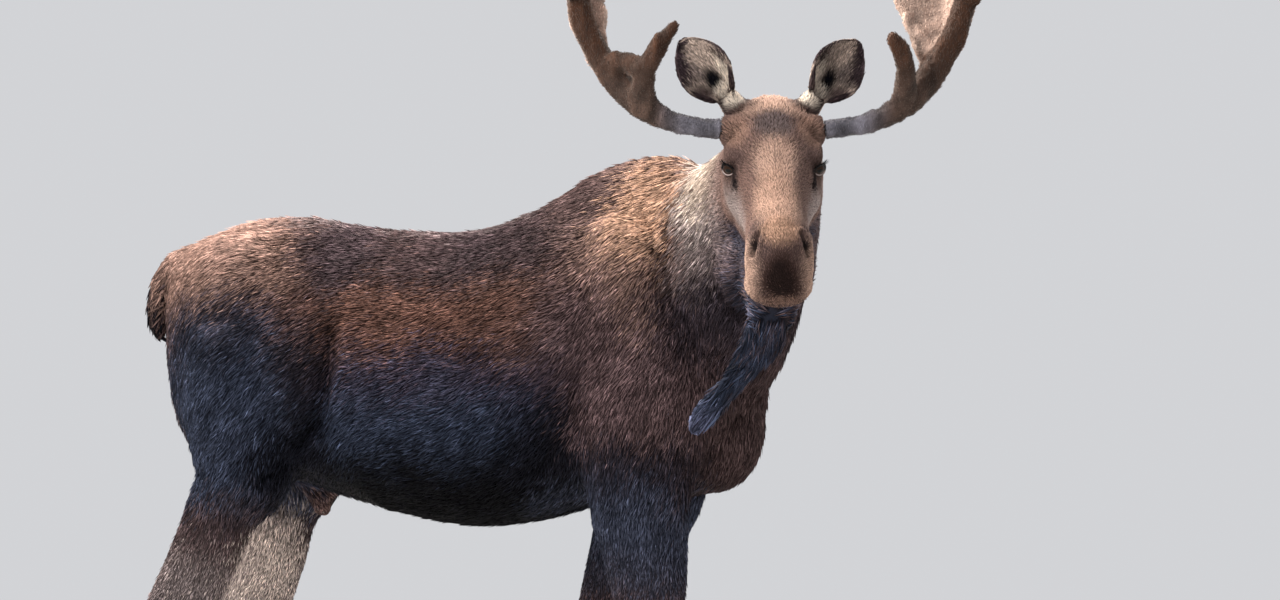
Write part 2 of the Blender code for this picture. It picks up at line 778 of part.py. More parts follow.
def antler(label, side, where):
    hint = (1, 0, 0.2)
    forms = [
        loft_along_path("beam_form", outward(BEAM, side), hint, where),
        loft_along_path("brow_form", outward(BROW_TINES[side], side), hint, where),
        palm_blade("palm_form", side, where),
    ]
    made = grow_together(f"antler_{label}", forms, ANTLER_GRAIN, 5, where)
    made.data.transform(LEVEL_HEAD)
    keep_beyond(made, antler_start(side), beam_way(side))
    cuts = [
        (LEVEL_HEAD @ mirrored(at, side), LEVEL_HEAD.to_3x3() @ mirrored(way, side), radius)
        for at, way, radius in ANTLER_CUTS
    ]
    labels = {
        f"antler_{label}_{part}": LEVEL_HEAD @ mirrored(point, side)
        for part, point in ANTLER_LABELS.items()
    }
    part_in_pieces(made, cuts, labels, where)
    for part, budget in ANTLER_BUDGETS.items():
        thin_out(bpy.data.objects[f"antler_{label}_{part}"], budget)


def beam_way(side):
    """The way the antler's first stretch runs, out from the skull."""
    start, ahead = (LEVEL_HEAD @ Vector(outward([BEAM[i]], side)[0][:3]) for i in (0, 1))
    return (ahead - start).normalized()


def antler_start(side):
    return LEVEL_HEAD @ Vector(outward([BEAM[0]], side)[0][:3]) + beam_way(side) * 0.018


# ---------------------------------------------------------------- hooves

# One toe seen from above: forward share of the length, outward share of the width.
TOE_OUTLINE = (
    (1.00, 0.10),
    (0.93, 0.30),
    (0.78, 0.62),
    (0.55, 0.90),
    (0.30, 1.00),
    (0.10, 0.86),
    (0.00, 0.52),
    (0.02, 0.20),
    (0.18, 0.02),
    (0.50, 0.00),
    (0.80, 0.00),
    (0.95, 0.00),
)
# Height share, length scale, width scale, shift forward of the heel.
TOE_LEVELS = (
    (0.00, 0.97, 0.97, 0.002),
    (0.06, 1.00, 1.00, 0.000),
    (0.50, 0.84, 0.96, 0.006),
    (1.00, 0.66, 0.90, 0.012),
)


def toe(name, heel, outside, where):
    """One half of a cloven hoof: flat sole, sloping front and a coronet that rises to the front."""
    rings = []
    for level, long, wide, shift in TOE_LEVELS:
        ring = []
        for forward, across in TOE_OUTLINE:
            x = shift + HOOF_LENGTH * long * forward
            y = outside * (HOOF_GAP + HOOF_WIDTH * (0.02 * (1 - wide) + wide * across))
            z = level * (HOOF_HEEL_HEIGHT + (x - 0.01) * math.tan(CORONET_TILT))
            ring.append(Vector((x, y, z)))
        rings.append(ring)
    made = bridge(name, rings, where)
    made.data.transform(Matrix.Translation(heel))
    return made


def dewclaw(name, place, where, grow=0.0):
    """A small blunt horn cone behind the pastern, pointing down and back."""
    rings = []
    for back, down, size in ((0.0, -0.020, 0.012), (-0.010, 0.002, 0.013), (-0.020, 0.024, 0.006)):
        size += grow
        centre = Vector((back, 0, -down + math.copysign(grow, -down)))
        rings.append(
            ring_points(centre, Vector((0, 1, 0)), Vector((0.85, 0, -0.53)), size, size, size, count=6)
        )
    made = bridge(name, rings, where)
    made.data.transform(Matrix.Translation(place))
    return made


# ---------------------------------------------------------------- where the flesh is parted

# Centre, the way the cut faces, and the radius of the ball it stays in.
CUTS = (
    ((0.365, -0.195, 1.660), (0.50, -0.78, 0.10), 0.290),  # head from neck
    ((0.220, -0.010, 1.500), (0.955, 0.0, 0.295), 0.420),  # neck from trunk
    ((0.422, -0.320, 1.395), (0.25, 0.05, 1.0), 0.090),  # bell from throat
    ((-1.264, 0.0, 1.490), (1.0, 0.0, 0.15), 0.095),  # tail from rump
    ((-0.864, 0.0, 0.943), (0.20, 0.0, -1.0), 0.060),  # sheath from belly
)
# How far down from the elbow or stifle the leg parts from the trunk, as a share of the next bone.
LEG_TOP = {"fore_right": 0.17, "fore_left": 0.17, "hind_right": 0.24, "hind_left": 0.24}

FLESH_LABELS = {
    "trunk": (-0.45, 0.0, 1.25),
    "neck": (0.28, -0.08, 1.55),
    "head": (0.50, -0.45, 1.72),
    "bell": (0.30, -0.335, 1.25),
    "tail": (-1.300, 0.0, 1.40),
    "sheath": (-0.86, 0.0, 0.94),
}
FLESH_BUDGETS = {
    "trunk": 1520,
    "neck": 300,
    "head": 1600,
    "bell": 160,
    "tail": 110,
    "sheath": 70,
}
LEG_PARTS = {"fore": ("forearm", "cannon", "pastern"), "hind": ("shank", "cannon", "pastern")}
LEG_BUDGETS = (210, 160, 90)
for leg, (_, joint_points) in LEGS.items():
    for number, part in enumerate(LEG_PARTS[leg[:4]]):
        middle = (Vector(joint_points[number + 1]) + Vector(joint_points[number + 2])) / 2
        FLESH_LABELS[f"{leg}_{part}"] = tuple(middle)
        FLESH_BUDGETS[f"{leg}_{part}"] = LEG_BUDGETS[number]

MATERIAL_BY_NAME = {
    "hoof": "hoof",
    "dewclaw": "hoof",
    "eye": "eye",
    "antler": "velvet",
    "head": "face",
}


def hoof_heel(leg):
    """On the floor under the back of the hoof, between the toes."""
    coronet = LEGS[leg][1][4]
    return Vector((coronet[0] - 0.062, coronet[1], 0.0))


# ---------------------------------------------------------------- building


def build():
    clear_scene()
    model = collection("moose")
    guides = collection("guides")
    materials = {name: principled(name) for name in COLOURS}

    forms = trunk_forms(guides) + head_forms(guides) + [leg_form(name, guides) for name in LEGS]
    flesh = grow_together("flesh", forms, GRAIN, 6, guides)

    cuts, labels = list(CUTS), dict(FLESH_LABELS)
    for side in (-1, 1):
        ear_root, ear_tip = mirrored(EAR_ROOT, side), EAR_TIPS[side]
        ear_up = (ear_tip - ear_root).normalized()
        ear_end = HEAD @ (ear_root + ear_up * EAR_LIFT)
        cuts.append((ear_end - HEAD.to_3x3() @ ear_up * CUT, HEAD.to_3x3() @ ear_up, 0.055))
        labels[f"scrap_ear_{side}"] = ear_end + HEAD.to_3x3() @ ear_up * 0.015
        cuts.append((antler_start(side) - beam_way(side) * CUT, beam_way(side), 0.060))
        labels[f"scrap_pedicle_{side}"] = antler_start(side) + beam_way(side) * 0.02
    for name, (_, joints) in LEGS.items():
        for at, radius in ((1 + LEG_TOP[name], 0.175), (2.0, 0.130), (2.86, 0.090)):
            way = Vector(along_joints(joints, at + 0.05)) - Vector(along_joints(joints, at - 0.05))
            cuts.append((along_joints(joints, at), (0, 0, -1) if at < 2 else way, radius))
        coronet = hoof_heel(name) + Vector((0.055, 0, HOOF_HEEL_HEIGHT + 0.020 + CUT))
        up = (-math.sin(CORONET_TILT), 0, math.cos(CORONET_TILT))
        cuts.append((coronet, up, 0.095))
        labels[f"scrap_{name}"] = coronet - Vector((0, 0, 0.015))
    part_in_pieces(flesh, cuts, labels, model)
    for name, budget in FLESH_BUDGETS.items():
        thin_out(bpy.data.objects[name], budget)

    for label, side in (("right", -1), ("left", 1)):
        boolean(bpy.data.objects["head"], eye("socket", side, guides, EYE_RADIUS + CUT))
        ear(f"ear_{label}", side, model)
        eye(f"eye_{label}", side, model)
        antler(label, side, model)
    for name in LEGS:
        side = -1 if name.endswith("right") else 1
        heel = hoof_heel(name)
        for label, outside in (("outer", side), ("inner", -side)):
            toe(f"{name}_hoof_{label}", heel, outside, model)
            fetlock = Vector(LEGS[name][1][3])
            spot = fetlock + Vector((-0.048, outside * 0.026, -0.030))
            pastern = bpy.data.objects[f"{name}_pastern"]
            boolean(pastern, dewclaw("socket", spot, guides, CUT))
            dewclaw(f"{name}_dewclaw_{label}", spot, model)

    pieces = list(model.objects)
    low = Vector([min(min(v.co[i] for v in p.data.vertices) for p in pieces) for i in range(3)])
    high = Vector([max(max(v.co[i] for v in p.data.vertices) for p in pieces) for i in range(3)])
    shift = Matrix.Translation((-(low.x + high.x) / 2, -(low.y + high.y) / 2, 0))
    for piece in pieces:
        piece.data.transform(shift)
        finish(piece, materials)
    for guide in guides.objects:
        guide.hide_render = True
        guide.display_type = "WIRE"


def finish(piece, materials):
    """Its own material, and smooth shading."""
    kind = next((k for k in MATERIAL_BY_NAME if k in piece.name), None)
    made = materials[MATERIAL_BY_NAME.get(kind, "coat")].copy()
    made.name = f"{piece.name}_material"
    piece.data.materials.clear()
    piece.data.materials.append(made)
    for face in piece.data.polygons:
        face.use_smooth = True


build()
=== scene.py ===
"""A bull moose in summer velvet, life size: its hide, coat, eyes, antlers and hooves."""

import math

import bmesh
import bpy
import numpy as np
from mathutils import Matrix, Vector, kdtree, noise
from mathutils.bvhtree import BVHTree


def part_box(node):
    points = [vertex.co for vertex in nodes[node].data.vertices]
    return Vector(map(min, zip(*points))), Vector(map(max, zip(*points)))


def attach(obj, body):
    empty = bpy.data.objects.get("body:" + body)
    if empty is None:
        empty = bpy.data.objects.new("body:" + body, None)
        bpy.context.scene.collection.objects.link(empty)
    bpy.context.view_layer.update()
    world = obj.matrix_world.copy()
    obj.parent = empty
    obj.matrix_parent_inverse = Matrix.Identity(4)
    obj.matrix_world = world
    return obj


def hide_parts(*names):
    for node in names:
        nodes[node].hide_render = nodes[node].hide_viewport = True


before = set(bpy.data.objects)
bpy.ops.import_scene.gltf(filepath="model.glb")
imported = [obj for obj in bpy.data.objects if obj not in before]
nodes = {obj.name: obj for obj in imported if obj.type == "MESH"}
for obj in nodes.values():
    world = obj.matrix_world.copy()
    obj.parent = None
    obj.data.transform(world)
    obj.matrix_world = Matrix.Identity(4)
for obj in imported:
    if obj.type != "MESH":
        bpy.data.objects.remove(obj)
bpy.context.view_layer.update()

# ------------ the hide
# One hide covers trunk, neck, head, ears, bell, tail and legs with no seam.
# It is the flesh grown into one body, smoothed, drawn in by the depth of the coat that grows on
# it, and folded at the joints, eyes, nostrils and mouth.

HARD_PARTS = ("antler", "eye", "hoof", "dewclaw")
flesh = sorted(n for n in nodes if not any(part in n for part in HARD_PARTS))

HIDE_GRAIN = 0.0036
HIDE_TRIANGLES = 178000
FOOT_TOP, HORN_REACH = 0.34, 0.045  # how high the dewclaws come, and how far off skin minds horn
FULL_BY_HORN = 1.8  # past 1, the skin is full a little before it meets the horn
FULL_SKIN = 0.001  # how far it then stands out
OVERLAP = 0.001  # each part is swelled by this, to close the cuts between parts
BRISKET_AHEAD = 0.307  # the trunk's front end, ahead of the withers
HEAD_PITCH = math.radians(26)  # nose below the level
EYE_AHEAD = 0.004  # the eyeballs, ahead of the head frame's middle
EYE_RADIUS = 0.0215
# An ear's root, tip and the way that it faces, in the head's frame
EAR_ROOT, EAR_TIP, EAR_FACING = (-0.185, 0.085, 0.066), (-0.297, 0.2025, 0.210), (0.85, 0.30, 0.42)
EAR_BEND = 14.0  # an ear's edges stand forward of its middle by this times the way out, squared
EAR_HALF, EAR_CUP = 0.048, 0.006  # half an ear's width, and how far its edges curl forward
PEDICLES = ((-0.060, 0.098, 0.076), (-0.060, -0.098, 0.076))  # antlers' feet: ahead, left and up
PEDICLE_RADIUS = 0.031
SIDES = (("left", 1), ("right", -1))
LEGS = ("fore_right", "fore_left", "hind_right", "hind_left")


def unit(vectors):
    vectors = np.asarray(vectors, float)
    return vectors / np.maximum(np.linalg.norm(vectors, axis=-1, keepdims=True), 1e-9)


def middle_of(node):
    low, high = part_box(node)
    return np.array((low + high) / 2)


trunk_low, trunk_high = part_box("trunk")
withers = np.array((trunk_high.x - BRISKET_AHEAD, (trunk_low.y + trunk_high.y) / 2, 0.0))
eye_at = {side: middle_of(f"eye_{side}") for side in ("left", "right")}
head_left = unit(eye_at["left"] - eye_at["right"])
level_ahead = np.cross(head_left, (0, 0, 1))
nose_way = level_ahead * math.cos(HEAD_PITCH) - np.array((0, 0, math.sin(HEAD_PITCH)))
crown_way = np.cross(nose_way, head_left)
head_axes = np.array((nose_way, head_left, crown_way))
head_middle = (eye_at["left"] + eye_at["right"]) / 2 - nose_way * EYE_AHEAD


def in_head(points):
    """World points in the head's frame: towards the nose, its left, its crown."""
    return (points - head_middle) @ head_axes.T


def both_sides(points):
    """The same points, those of the right side mirrored to the left."""
    return np.abs(points * (0, 1, 0)) + points * (1, 0, 1)


def side_of(points):
    return np.where(points[:, 1] < 0, -1.0, 1.0)


ear_up = unit(np.subtract(EAR_TIP, EAR_ROOT))
ear_facing = unit(EAR_FACING - ear_up * np.dot(EAR_FACING, ear_up))
ear_axes = np.array((ear_up, np.cross(ear_up, ear_facing), ear_facing))


def spaces(points):
    """The same points in the frames that places are given in, folded to the left except in neck.
    An ear's frame runs from its root to its tip, to its outer edge, and out of its hollow."""
    body, head = points - withers, both_sides(in_head(points))
    ear = (head - EAR_ROOT) @ ear_axes.T
    ear[:, 2] -= EAR_BEND * ear[:, 1] ** 2
    return {"body": both_sides(body), "neck": body, "head": head, "ear": ear}


def smooth_step(share):
    share = np.clip(share, 0, 1)
    return share * share * (3 - 2 * share)


def ramp(value, start, width):
    """0 up to start and 1 past its width; with a width below 0 it is 1 first and then 0."""
    return smooth_step((value - start) / width)


def ridge(away, at, width, height):
    """A smooth ridge of that height that far away."""
    return np.exp(-(((away - at) / width) ** 2)) * height


def inside(points, centre, reach, soft=0.55):
    """1 within an ellipsoid, falling to 0 over its outer part."""
    away = np.linalg.norm((points - centre) / reach, axis=1)
    return ramp(away, 1, -soft)


def painted(count, base, layers):
    """That many rows of the base, with each layer's value laid over them by its share."""
    values = np.tile(np.array(base, float), (count, 1))
    for value, share in layers:
        values += (np.array(value) - values) * share[:, None]
    return values


def laid_over(points, base, zones):
    """Values that start at base, with each zone's values laid over the last where it reaches."""
    where = spaces(points)
    return painted(len(points), base, (
        (value, inside(where[space], centre, reach) * strength)
        for space, centre, reach, value, strength in zones
    ))


def noise_at(points):
    return np.array([noise.noise(point) for point in points.tolist()])


def to_scene(name, data):
    made = bpy.data.objects.new(name, data)
    bpy.context.scene.collection.objects.link(made)
    return made


def mesh_from(name, source):
    """A mesh of what is in a bmesh, which is freed."""
    mesh = bpy.data.meshes.new(name)
    source.to_mesh(mesh)
    source.free()
    return mesh


def modify(obj, kind, **settings):
    modifier = obj.modifiers.new(kind, kind)
    for name, value in settings.items():
        setattr(modifier, name, value)


def applied(obj):
    """Turns the object's modifiers into its mesh."""
    bpy.context.view_layer.update()
    evaluated = obj.evaluated_get(bpy.context.evaluated_depsgraph_get())
    mesh = bpy.data.meshes.new_from_object(evaluated)
    obj.modifiers.clear()
    obj.data = mesh
    return obj


def grown_together(name, parts, grain, swell, fillers=()):
    """Copies of nodes, swelled a little and grown into one closed mesh; fillers are (centre, radius)."""
    joined = bmesh.new()
    for part in parts:
        copy = bmesh.new()
        copy.from_mesh(nodes[part].data)
        bmesh.ops.remove_doubles(copy, verts=copy.verts, dist=1e-5)
        copy.normal_update()
        for vertex in copy.verts:
            vertex.co += vertex.normal * swell
        mesh = mesh_from(part, copy)
        joined.from_mesh(mesh)
        bpy.data.meshes.remove(mesh)
    for centre, radius in fillers:
        ball = bmesh.ops.create_icosphere(joined, subdivisions=3, radius=radius)
        bmesh.ops.translate(joined, verts=ball["verts"], vec=centre)
    made = to_scene(name, mesh_from(name, joined))
    modify(made, "REMESH", mode="VOXEL", voxel_size=grain)
    return applied(made)


def vertices_of(mesh):
    """Where its vertices are, and the way out at each."""
    found = []
    for source, field in ((mesh.vertices, "co"), (mesh.vertex_normals, "vector")):
        values = np.empty(len(source) * 3, np.float32)
        source.foreach_get(field, values)
        found.append(values.reshape(-1, 3).astype(float))
    return found


def place_vertices(mesh, points):
    mesh.vertices.foreach_set("co", points.astype(np.float32).ravel())
    mesh.update()


def weight_group(obj, name, weights, steps=20):
    """A vertex group with each vertex's weight, to the nearest step."""
    group = obj.vertex_groups.new(name=name)
    levels = np.round(np.clip(weights, 0, 1) * steps).astype(int)
    for level in range(1, steps + 1):
        group.add(np.nonzero(levels == level)[0].tolist(), level / steps, "REPLACE")
    return group.name


# The hair's length, width, height above the hide, and the distance from one tuft to the next; and
# zones by frame, middle and reach, with the hair there and how much of it is laid over the last
COAT = (0.030, 0.0022, 0.0054, 0.0046)
COAT_ZONES = (
    ("body", (-0.5, 0, 0.95), (0.7, 0.35, 0.18), (0.03, 0.0022, 0.005, 0.0049), 1),
    ("body", (0.05, 0, 1.74), (0.34, 0.24, 0.24), (0.038, 0.0024, 0.0075, 0.0045), 1),
    ("body", (-1.05, 0.1, 1.6), (0.28, 0.3, 0.2), (0.034, 0.0023, 0.007, 0.0045), 1),
    ("neck", (0.3, -0.13, 1.58), (0.3, 0.32, 0.42), (0.038, 0.0023, 0.0064, 0.0042), 1),
    ("body", (-0.05, 0.17, 0.6), (0.45, 0.26, 0.42), (0.016, 0.0022, 0.0036, 0.0044), 1),
    ("body", (-1.08, 0.17, 0.58), (0.35, 0.26, 0.42), (0.016, 0.0022, 0.0036, 0.0044), 1),
    ("body", (-0.05, 0.17, 0.2), (0.55, 0.26, 0.45), (0.012, 0.002, 0.003, 0.0045), 1),
    ("body", (-1.08, 0.17, 0.2), (0.45, 0.26, 0.45), (0.012, 0.002, 0.003, 0.0045), 1),
    ("neck", (0.41, -0.31, 1.42), (0.13, 0.13, 0.2), (0.06, 0.0026, 0.01, 0.0032), 1),
    ("neck", (0.29, -0.345, 1.19), (0.17, 0.09, 0.18), (0.072, 0.0026, 0.012, 0.0029), 1),
    ("neck", (-1.28, 0, 1.42), (0.09, 0.1, 0.2), (0.046, 0.0028, 0.0085, 0.0034), 1),
    ("neck", (-0.87, 0, 0.92), (0.07, 0.06, 0.08), (0.012, 0.002, 0.0018, 0.0042), 1),
    ("head", (0.1, 0, -0.05), (0.52, 0.26, 0.28), (0.013, 0.0014, 0.0024, 0.0031), 1),
    ("head", (-0.08, 0, -0.2), (0.22, 0.18, 0.1), (0.022, 0.0022, 0.005, 0.0036), 1),
    ("head", (-0.14, 0, 0.09), (0.17, 0.17, 0.12), (0.018, 0.002, 0.005, 0.0034), 1),
    ("head", (0.02, 0.12, 0), (0.09, 0.08, 0.07), (0.0095, 0.0012, 0.0014, 0.0027), 1),
    ("head", (0.42, 0, -0.06), (0.17, 0.16, 0.15), (0.0085, 0.0012, 0.0013, 0.0029), 1),
    ("ear", (0.1, 0, 0), (0.15, 0.1, 0.08), (0.015, 0.0017, 0.0014, 0.0029), 1),
)

# Creases: depth, width, and the line that each follows, in the body's frame.
CREASES = (
    (0.017, 0.026, ((-0.1, 0.26, 1.4), (-0.1, 0.27, 1.22), (-0.08, 0.26, 1.08), (-0.09, 0.22, 0.94))),
    (0.014, 0.022, ((0.05, 0.1, 1.74), (0.072, 0.16, 1.67), (0.098, 0.2, 1.58), (0.1, 0.22, 1.44))),
    (0.024, 0.024, ((-0.74, 0.26, 1.42), (-0.75, 0.27, 1.28), (-0.77, 0.27, 1.15), (-0.84, 0.25, 1.07))),
    (0.024, 0.02, ((-0.79, 0.26, 1.13), (-0.86, 0.24, 1.05), (-0.93, 0.22, 0.99), (-0.95, 0.18, 0.94))),
    (0.013, 0.02, ((0.13, 0.14, 0.9), (0.2, 0.13, 1.03), (0.27, 0.09, 1.15))),
    (0.008, 0.02, ((0.15, 0.21, 1.4), (0.17, 0.19, 1.28), (0.16, 0.17, 1.14), (0.12, 0.17, 1.02))),
)
SWELLS = (
    ("body", (-0.02, 0.24, 1.14), (0.13, 0.12, 0.2), 0.014),  # triceps
    ("body", (0.12, 0.2, 1.16), (0.09, 0.1, 0.13), 0.01),  # point of the shoulder
    ("body", (0, 0.22, 1.48), (0.1, 0.12, 0.26), 0.008),  # shoulder blade
    ("body", (-1.04, 0.22, 1.22), (0.17, 0.12, 0.24), 0.012),  # thigh
    ("body", (-0.9, 0.22, 0.99), (0.09, 0.1, 0.1), 0.008),  # stifle
    ("body", (-0.45, 0.26, 1.14), (0.26, 0.12, 0.2), 0.006),  # barrel
)


def distance_to_line(points, line):
    """Distance of each point from a line through the given points."""
    line = np.array(line, float)
    least = np.full(len(points), 1e9)
    for start, end in zip(line, line[1:]):
        way = end - start
        share = np.clip((points - start) @ way / (way @ way), 0, 1)
        least = np.minimum(least, np.linalg.norm(points - start - share[:, None] * way, axis=1))
    return least


# Lines and places on the face, in the head's frame, and ridges and furrows along them: how far off,
# how wide and how high or deep each is
NOSTRIL_LINE = ((0.442, 0.062, -0.020), (0.431, 0.058, -0.001), (0.410, 0.049, 0.015))
NOSTRIL_RIM, NOSTRIL_PIT = (0.015, 0.006, 0.0045), (0, 0.0078, 0.014)
LIP_ROLL, MOUTH_SLIT = (0.012, 0.008, 0.003), (0, 0.0048, 0.010)
MOUTH_CORNER, MOUTH_FRONT = (0.290, -0.122), (0.455, -0.148)  # ahead, up
GLAND_LINE = ((0.045, 0.103, 0.000), (0.068, 0.094, -0.008), (0.086, 0.089, -0.022))
EYE_TURN = math.radians(50)  # the opening between the lids faces this far ahead of sideways
OPENING = (math.radians(48), math.radians(32))  # half the opening, along and across
LID_THICK = 0.0028
LID_FOLD = (1.62, 0.13, 0.003)  # above the eye; where it is, and its width, are shares of the opening
EYE_SINK = 0.0016  # within the opening, the hide lies this far inside the eyeball
# How far each form of the face stands out, its width or reach, and its line or middle
FACE_FORMS = (
    (-0.008, 0.0065, GLAND_LINE),
    (0.007, 0.012, ((-0.03, 0.108, 0.044), (0.01, 0.105, 0.042), (0.045, 0.09, 0.03))),  # brow
    (0.004, 0.016, ((0.05, 0.105, -0.075), (0.18, 0.078, -0.06), (0.3, 0.072, -0.05))),  # cheek
    (-0.004, 0.018, ((0.08, 0.085, -0.01), (0.2, 0.062, 0.005), (0.3, 0.062, 0))),  # bridge's side
    (-0.004, (0.08, 0.05, 0.05), (-0.01, 0, 0.1)),  # forehead
    (-0.004, 0.014, ((0.412, 0.048, 0.014), (0.4, 0.026, 0.036), (0.396, 0, 0.04))),  # shelf
    (0.005, (0.07, 0.075, 0.07), (0.47, 0, -0.045)),  # nose pad
    (0.004, 0.01, ((0.4, 0.066, 0), (0.425, 0.074, -0.016), (0.438, 0.076, -0.04))),  # wing
)


def opening_edge(angle):
    """How far the opening's edge lies off its middle, that way."""
    return OPENING[0] * OPENING[1] / np.hypot(OPENING[1] * np.cos(angle), OPENING[0] * np.sin(angle))


def round_the_eye(head):
    """Where points lie round the nearer eye: how far out from its middle, how far off the
    opening's middle as a share of the way to the lid's edge, and the way from its middle."""
    away = head - (EYE_AHEAD, abs(head_left @ (eye_at["left"] - head_middle)), 0)
    distance = np.linalg.norm(away, axis=1)
    way = unit(away)
    out = way @ (math.sin(EYE_TURN), math.cos(EYE_TURN), 0)
    ahead = way @ (math.cos(EYE_TURN), -math.sin(EYE_TURN), 0)
    edge = opening_edge(np.arctan2(way[:, 2], ahead))
    return distance, np.arccos(np.clip(out, -1, 1)) / edge, way


def lids_closed_over(points):
    """The hide drawn back inside the eyeball within the opening, and rolled over it at the lids."""
    head = in_head(points)
    distance, share, way = round_the_eye(both_sides(head))
    near = distance < 0.06
    rise = ramp(share, 0.92, 0.14)
    fold = ridge(share, *LID_FOLD) * ramp(way[:, 2], -0.1, 0.3)
    wanted = EYE_RADIUS - EYE_SINK + rise * (LID_THICK + EYE_SINK) - fold
    hold = ramp(share, 2.1, -0.8) * near
    move = way * ((wanted - distance) * hold)[:, None]
    move[:, 1] *= side_of(head)
    return points + move @ head_axes


def shaped_head(points):
    """How far the hide stands out or sinks at the features of the face."""
    head = both_sides(in_head(points))
    near = (head[:, 0] > -0.3) & (head[:, 0] < 0.6) & (np.abs(head[:, 2]) < 0.35)
    out = np.zeros(len(points))
    nostril = distance_to_line(head, NOSTRIL_LINE)
    out += ridge(nostril, *NOSTRIL_RIM) - ridge(nostril, *NOSTRIL_PIT)
    rise = (head[:, 0] - MOUTH_CORNER[0]) / (MOUTH_FRONT[0] - MOUTH_CORNER[0])
    lip = MOUTH_CORNER[1] + (MOUTH_FRONT[1] - MOUTH_CORNER[1]) * np.clip(rise, 0, 1.2)
    away = head[:, 2] - lip
    out += ramp(rise, -0.05, 0.15) * (ridge(away, *LIP_ROLL) - ridge(away, *MOUTH_SLIT))
    for rise, reach, place in FACE_FORMS:
        if isinstance(reach, tuple):
            out += inside(head, place, reach, 1.0) * rise
        else:
            out += ridge(distance_to_line(head, place), 0, reach, rise)
    return out * near


def cupped_ears(points):
    """The ears' edges curled forward round their hollows."""
    ear = spaces(points)["ear"]
    on_blade = ramp(ear[:, 0], 0, 0.05) * (ear[:, 0] < 0.25) * (np.abs(ear[:, 1]) < 0.09)
    on_blade = on_blade * (np.abs(ear[:, 2]) < 0.06) * ramp(ear[:, 0], 0.22, -0.07)
    curl = EAR_CUP * np.clip(np.abs(ear[:, 1]) / EAR_HALF, 0, 1.1) ** 2.2 * on_blade
    move = curl[:, None] * ear_facing
    move[:, 1] *= side_of(in_head(points))
    return points + move @ head_axes


horn_corners, horn_faces = [], []
for name in sorted(nodes):
    if "hoof" in name or "dewclaw" in name:
        mesh = nodes[name].data
        horn_faces += [[corner + len(horn_corners) for corner in p.vertices] for p in mesh.polygons]
        horn_corners += [v.co.copy() for v in mesh.vertices]
horn_tree = BVHTree.FromPolygons(horn_corners, horn_faces)


def beside_horn(points):
    """1 against a hoof or dewclaw, where the skin is full, falling to 0 away from it."""
    share = np.zeros(len(points))
    for index in np.nonzero(points[:, 2] < FOOT_TOP)[0]:
        away = horn_tree.find_nearest(Vector(points[index]), HORN_REACH)[3]
        if away is not None:
            share[index] = 1 - away / HORN_REACH
    return smooth_step(share * FULL_BY_HORN)


EYE_FILL = EYE_RADIUS - 0.002  # flesh under the lids, a little inside the eyeball
BROAD_ROUNDS, FINE_ROUNDS = 110, 6  # rounds of smoothing, of the broad forms and of the whole
SUNK = 0.9  # the hide lies inside the bare form by this much of the coat's height


def off_head(ahead, left, up):
    """A place in the world, level ahead, to the left and up from between the eyes."""
    return head_middle + level_ahead * ahead + head_left * left + np.array((0, 0, up))


fillers = [(Vector(eye_at[side]), EYE_FILL) for side in eye_at]
fillers += [(Vector(off_head(*place)), PEDICLE_RADIUS) for place in PEDICLES]
hide = grown_together("hide", flesh, HIDE_GRAIN, OVERLAP, fillers)
points, outward = vertices_of(hide.data)
by_horn = beside_horn(points)
where = spaces(points)
on_head = inside(where["head"], (0.10, 0, -0.03), (0.60, 0.30, 0.34), 0.3)
on_ear = inside(where["head"], (-0.26, 0.16, 0.15), (0.13, 0.12, 0.13), 0.3)
on_legs = ramp(where["body"][:, 2], 1.0, -0.15)
broad = (1 - 0.55 * on_legs) * (1 - 0.80 * on_head) * (1 - 0.90 * on_ear) * (1 - by_horn)
fine = (1 - 0.8 * on_ear) * (1 - 0.7 * by_horn)
for weights, rounds in ((broad, BROAD_ROUNDS), (fine, FINE_ROUNDS)):
    group = weight_group(hide, f"smooth_{rounds}", weights)
    modify(hide, "SMOOTH", factor=0.5, iterations=rounds, vertex_group=group)
applied(hide)
hide.vertex_groups.clear()

points, outward = vertices_of(hide.data)
depth = laid_over(points, COAT, COAT_ZONES)[:, 2]
where = spaces(points)
stand = shaped_head(points) - depth * SUNK
for sink, width, line in CREASES:
    stand -= ridge(distance_to_line(where["body"], line), 0, width, sink)
for space, centre, reach, rise in SWELLS:
    stand += inside(where[space], centre, reach, 0.9) * rise
stand += (FULL_SKIN - stand) * beside_horn(points)
points = cupped_ears(lids_closed_over(points + outward * stand[:, None]))
place_vertices(hide.data, points)
modify(hide, "SMOOTH", iterations=2)
modify(hide, "TRIANGULATE")
applied(hide)
head = spaces(vertices_of(hide.data)[0])["head"]
on_head = inside(head, (0.10, 0, 0.0), (0.60, 0.30, 0.36), 0.25)
coarse = weight_group(hide, "coarse", 1 - 0.85 * on_head)
kept = HIDE_TRIANGLES / len(hide.data.polygons)
modify(hide, "DECIMATE", ratio=kept, vertex_group=coarse, vertex_group_factor=1.0)
applied(hide)
hide.vertex_groups.clear()

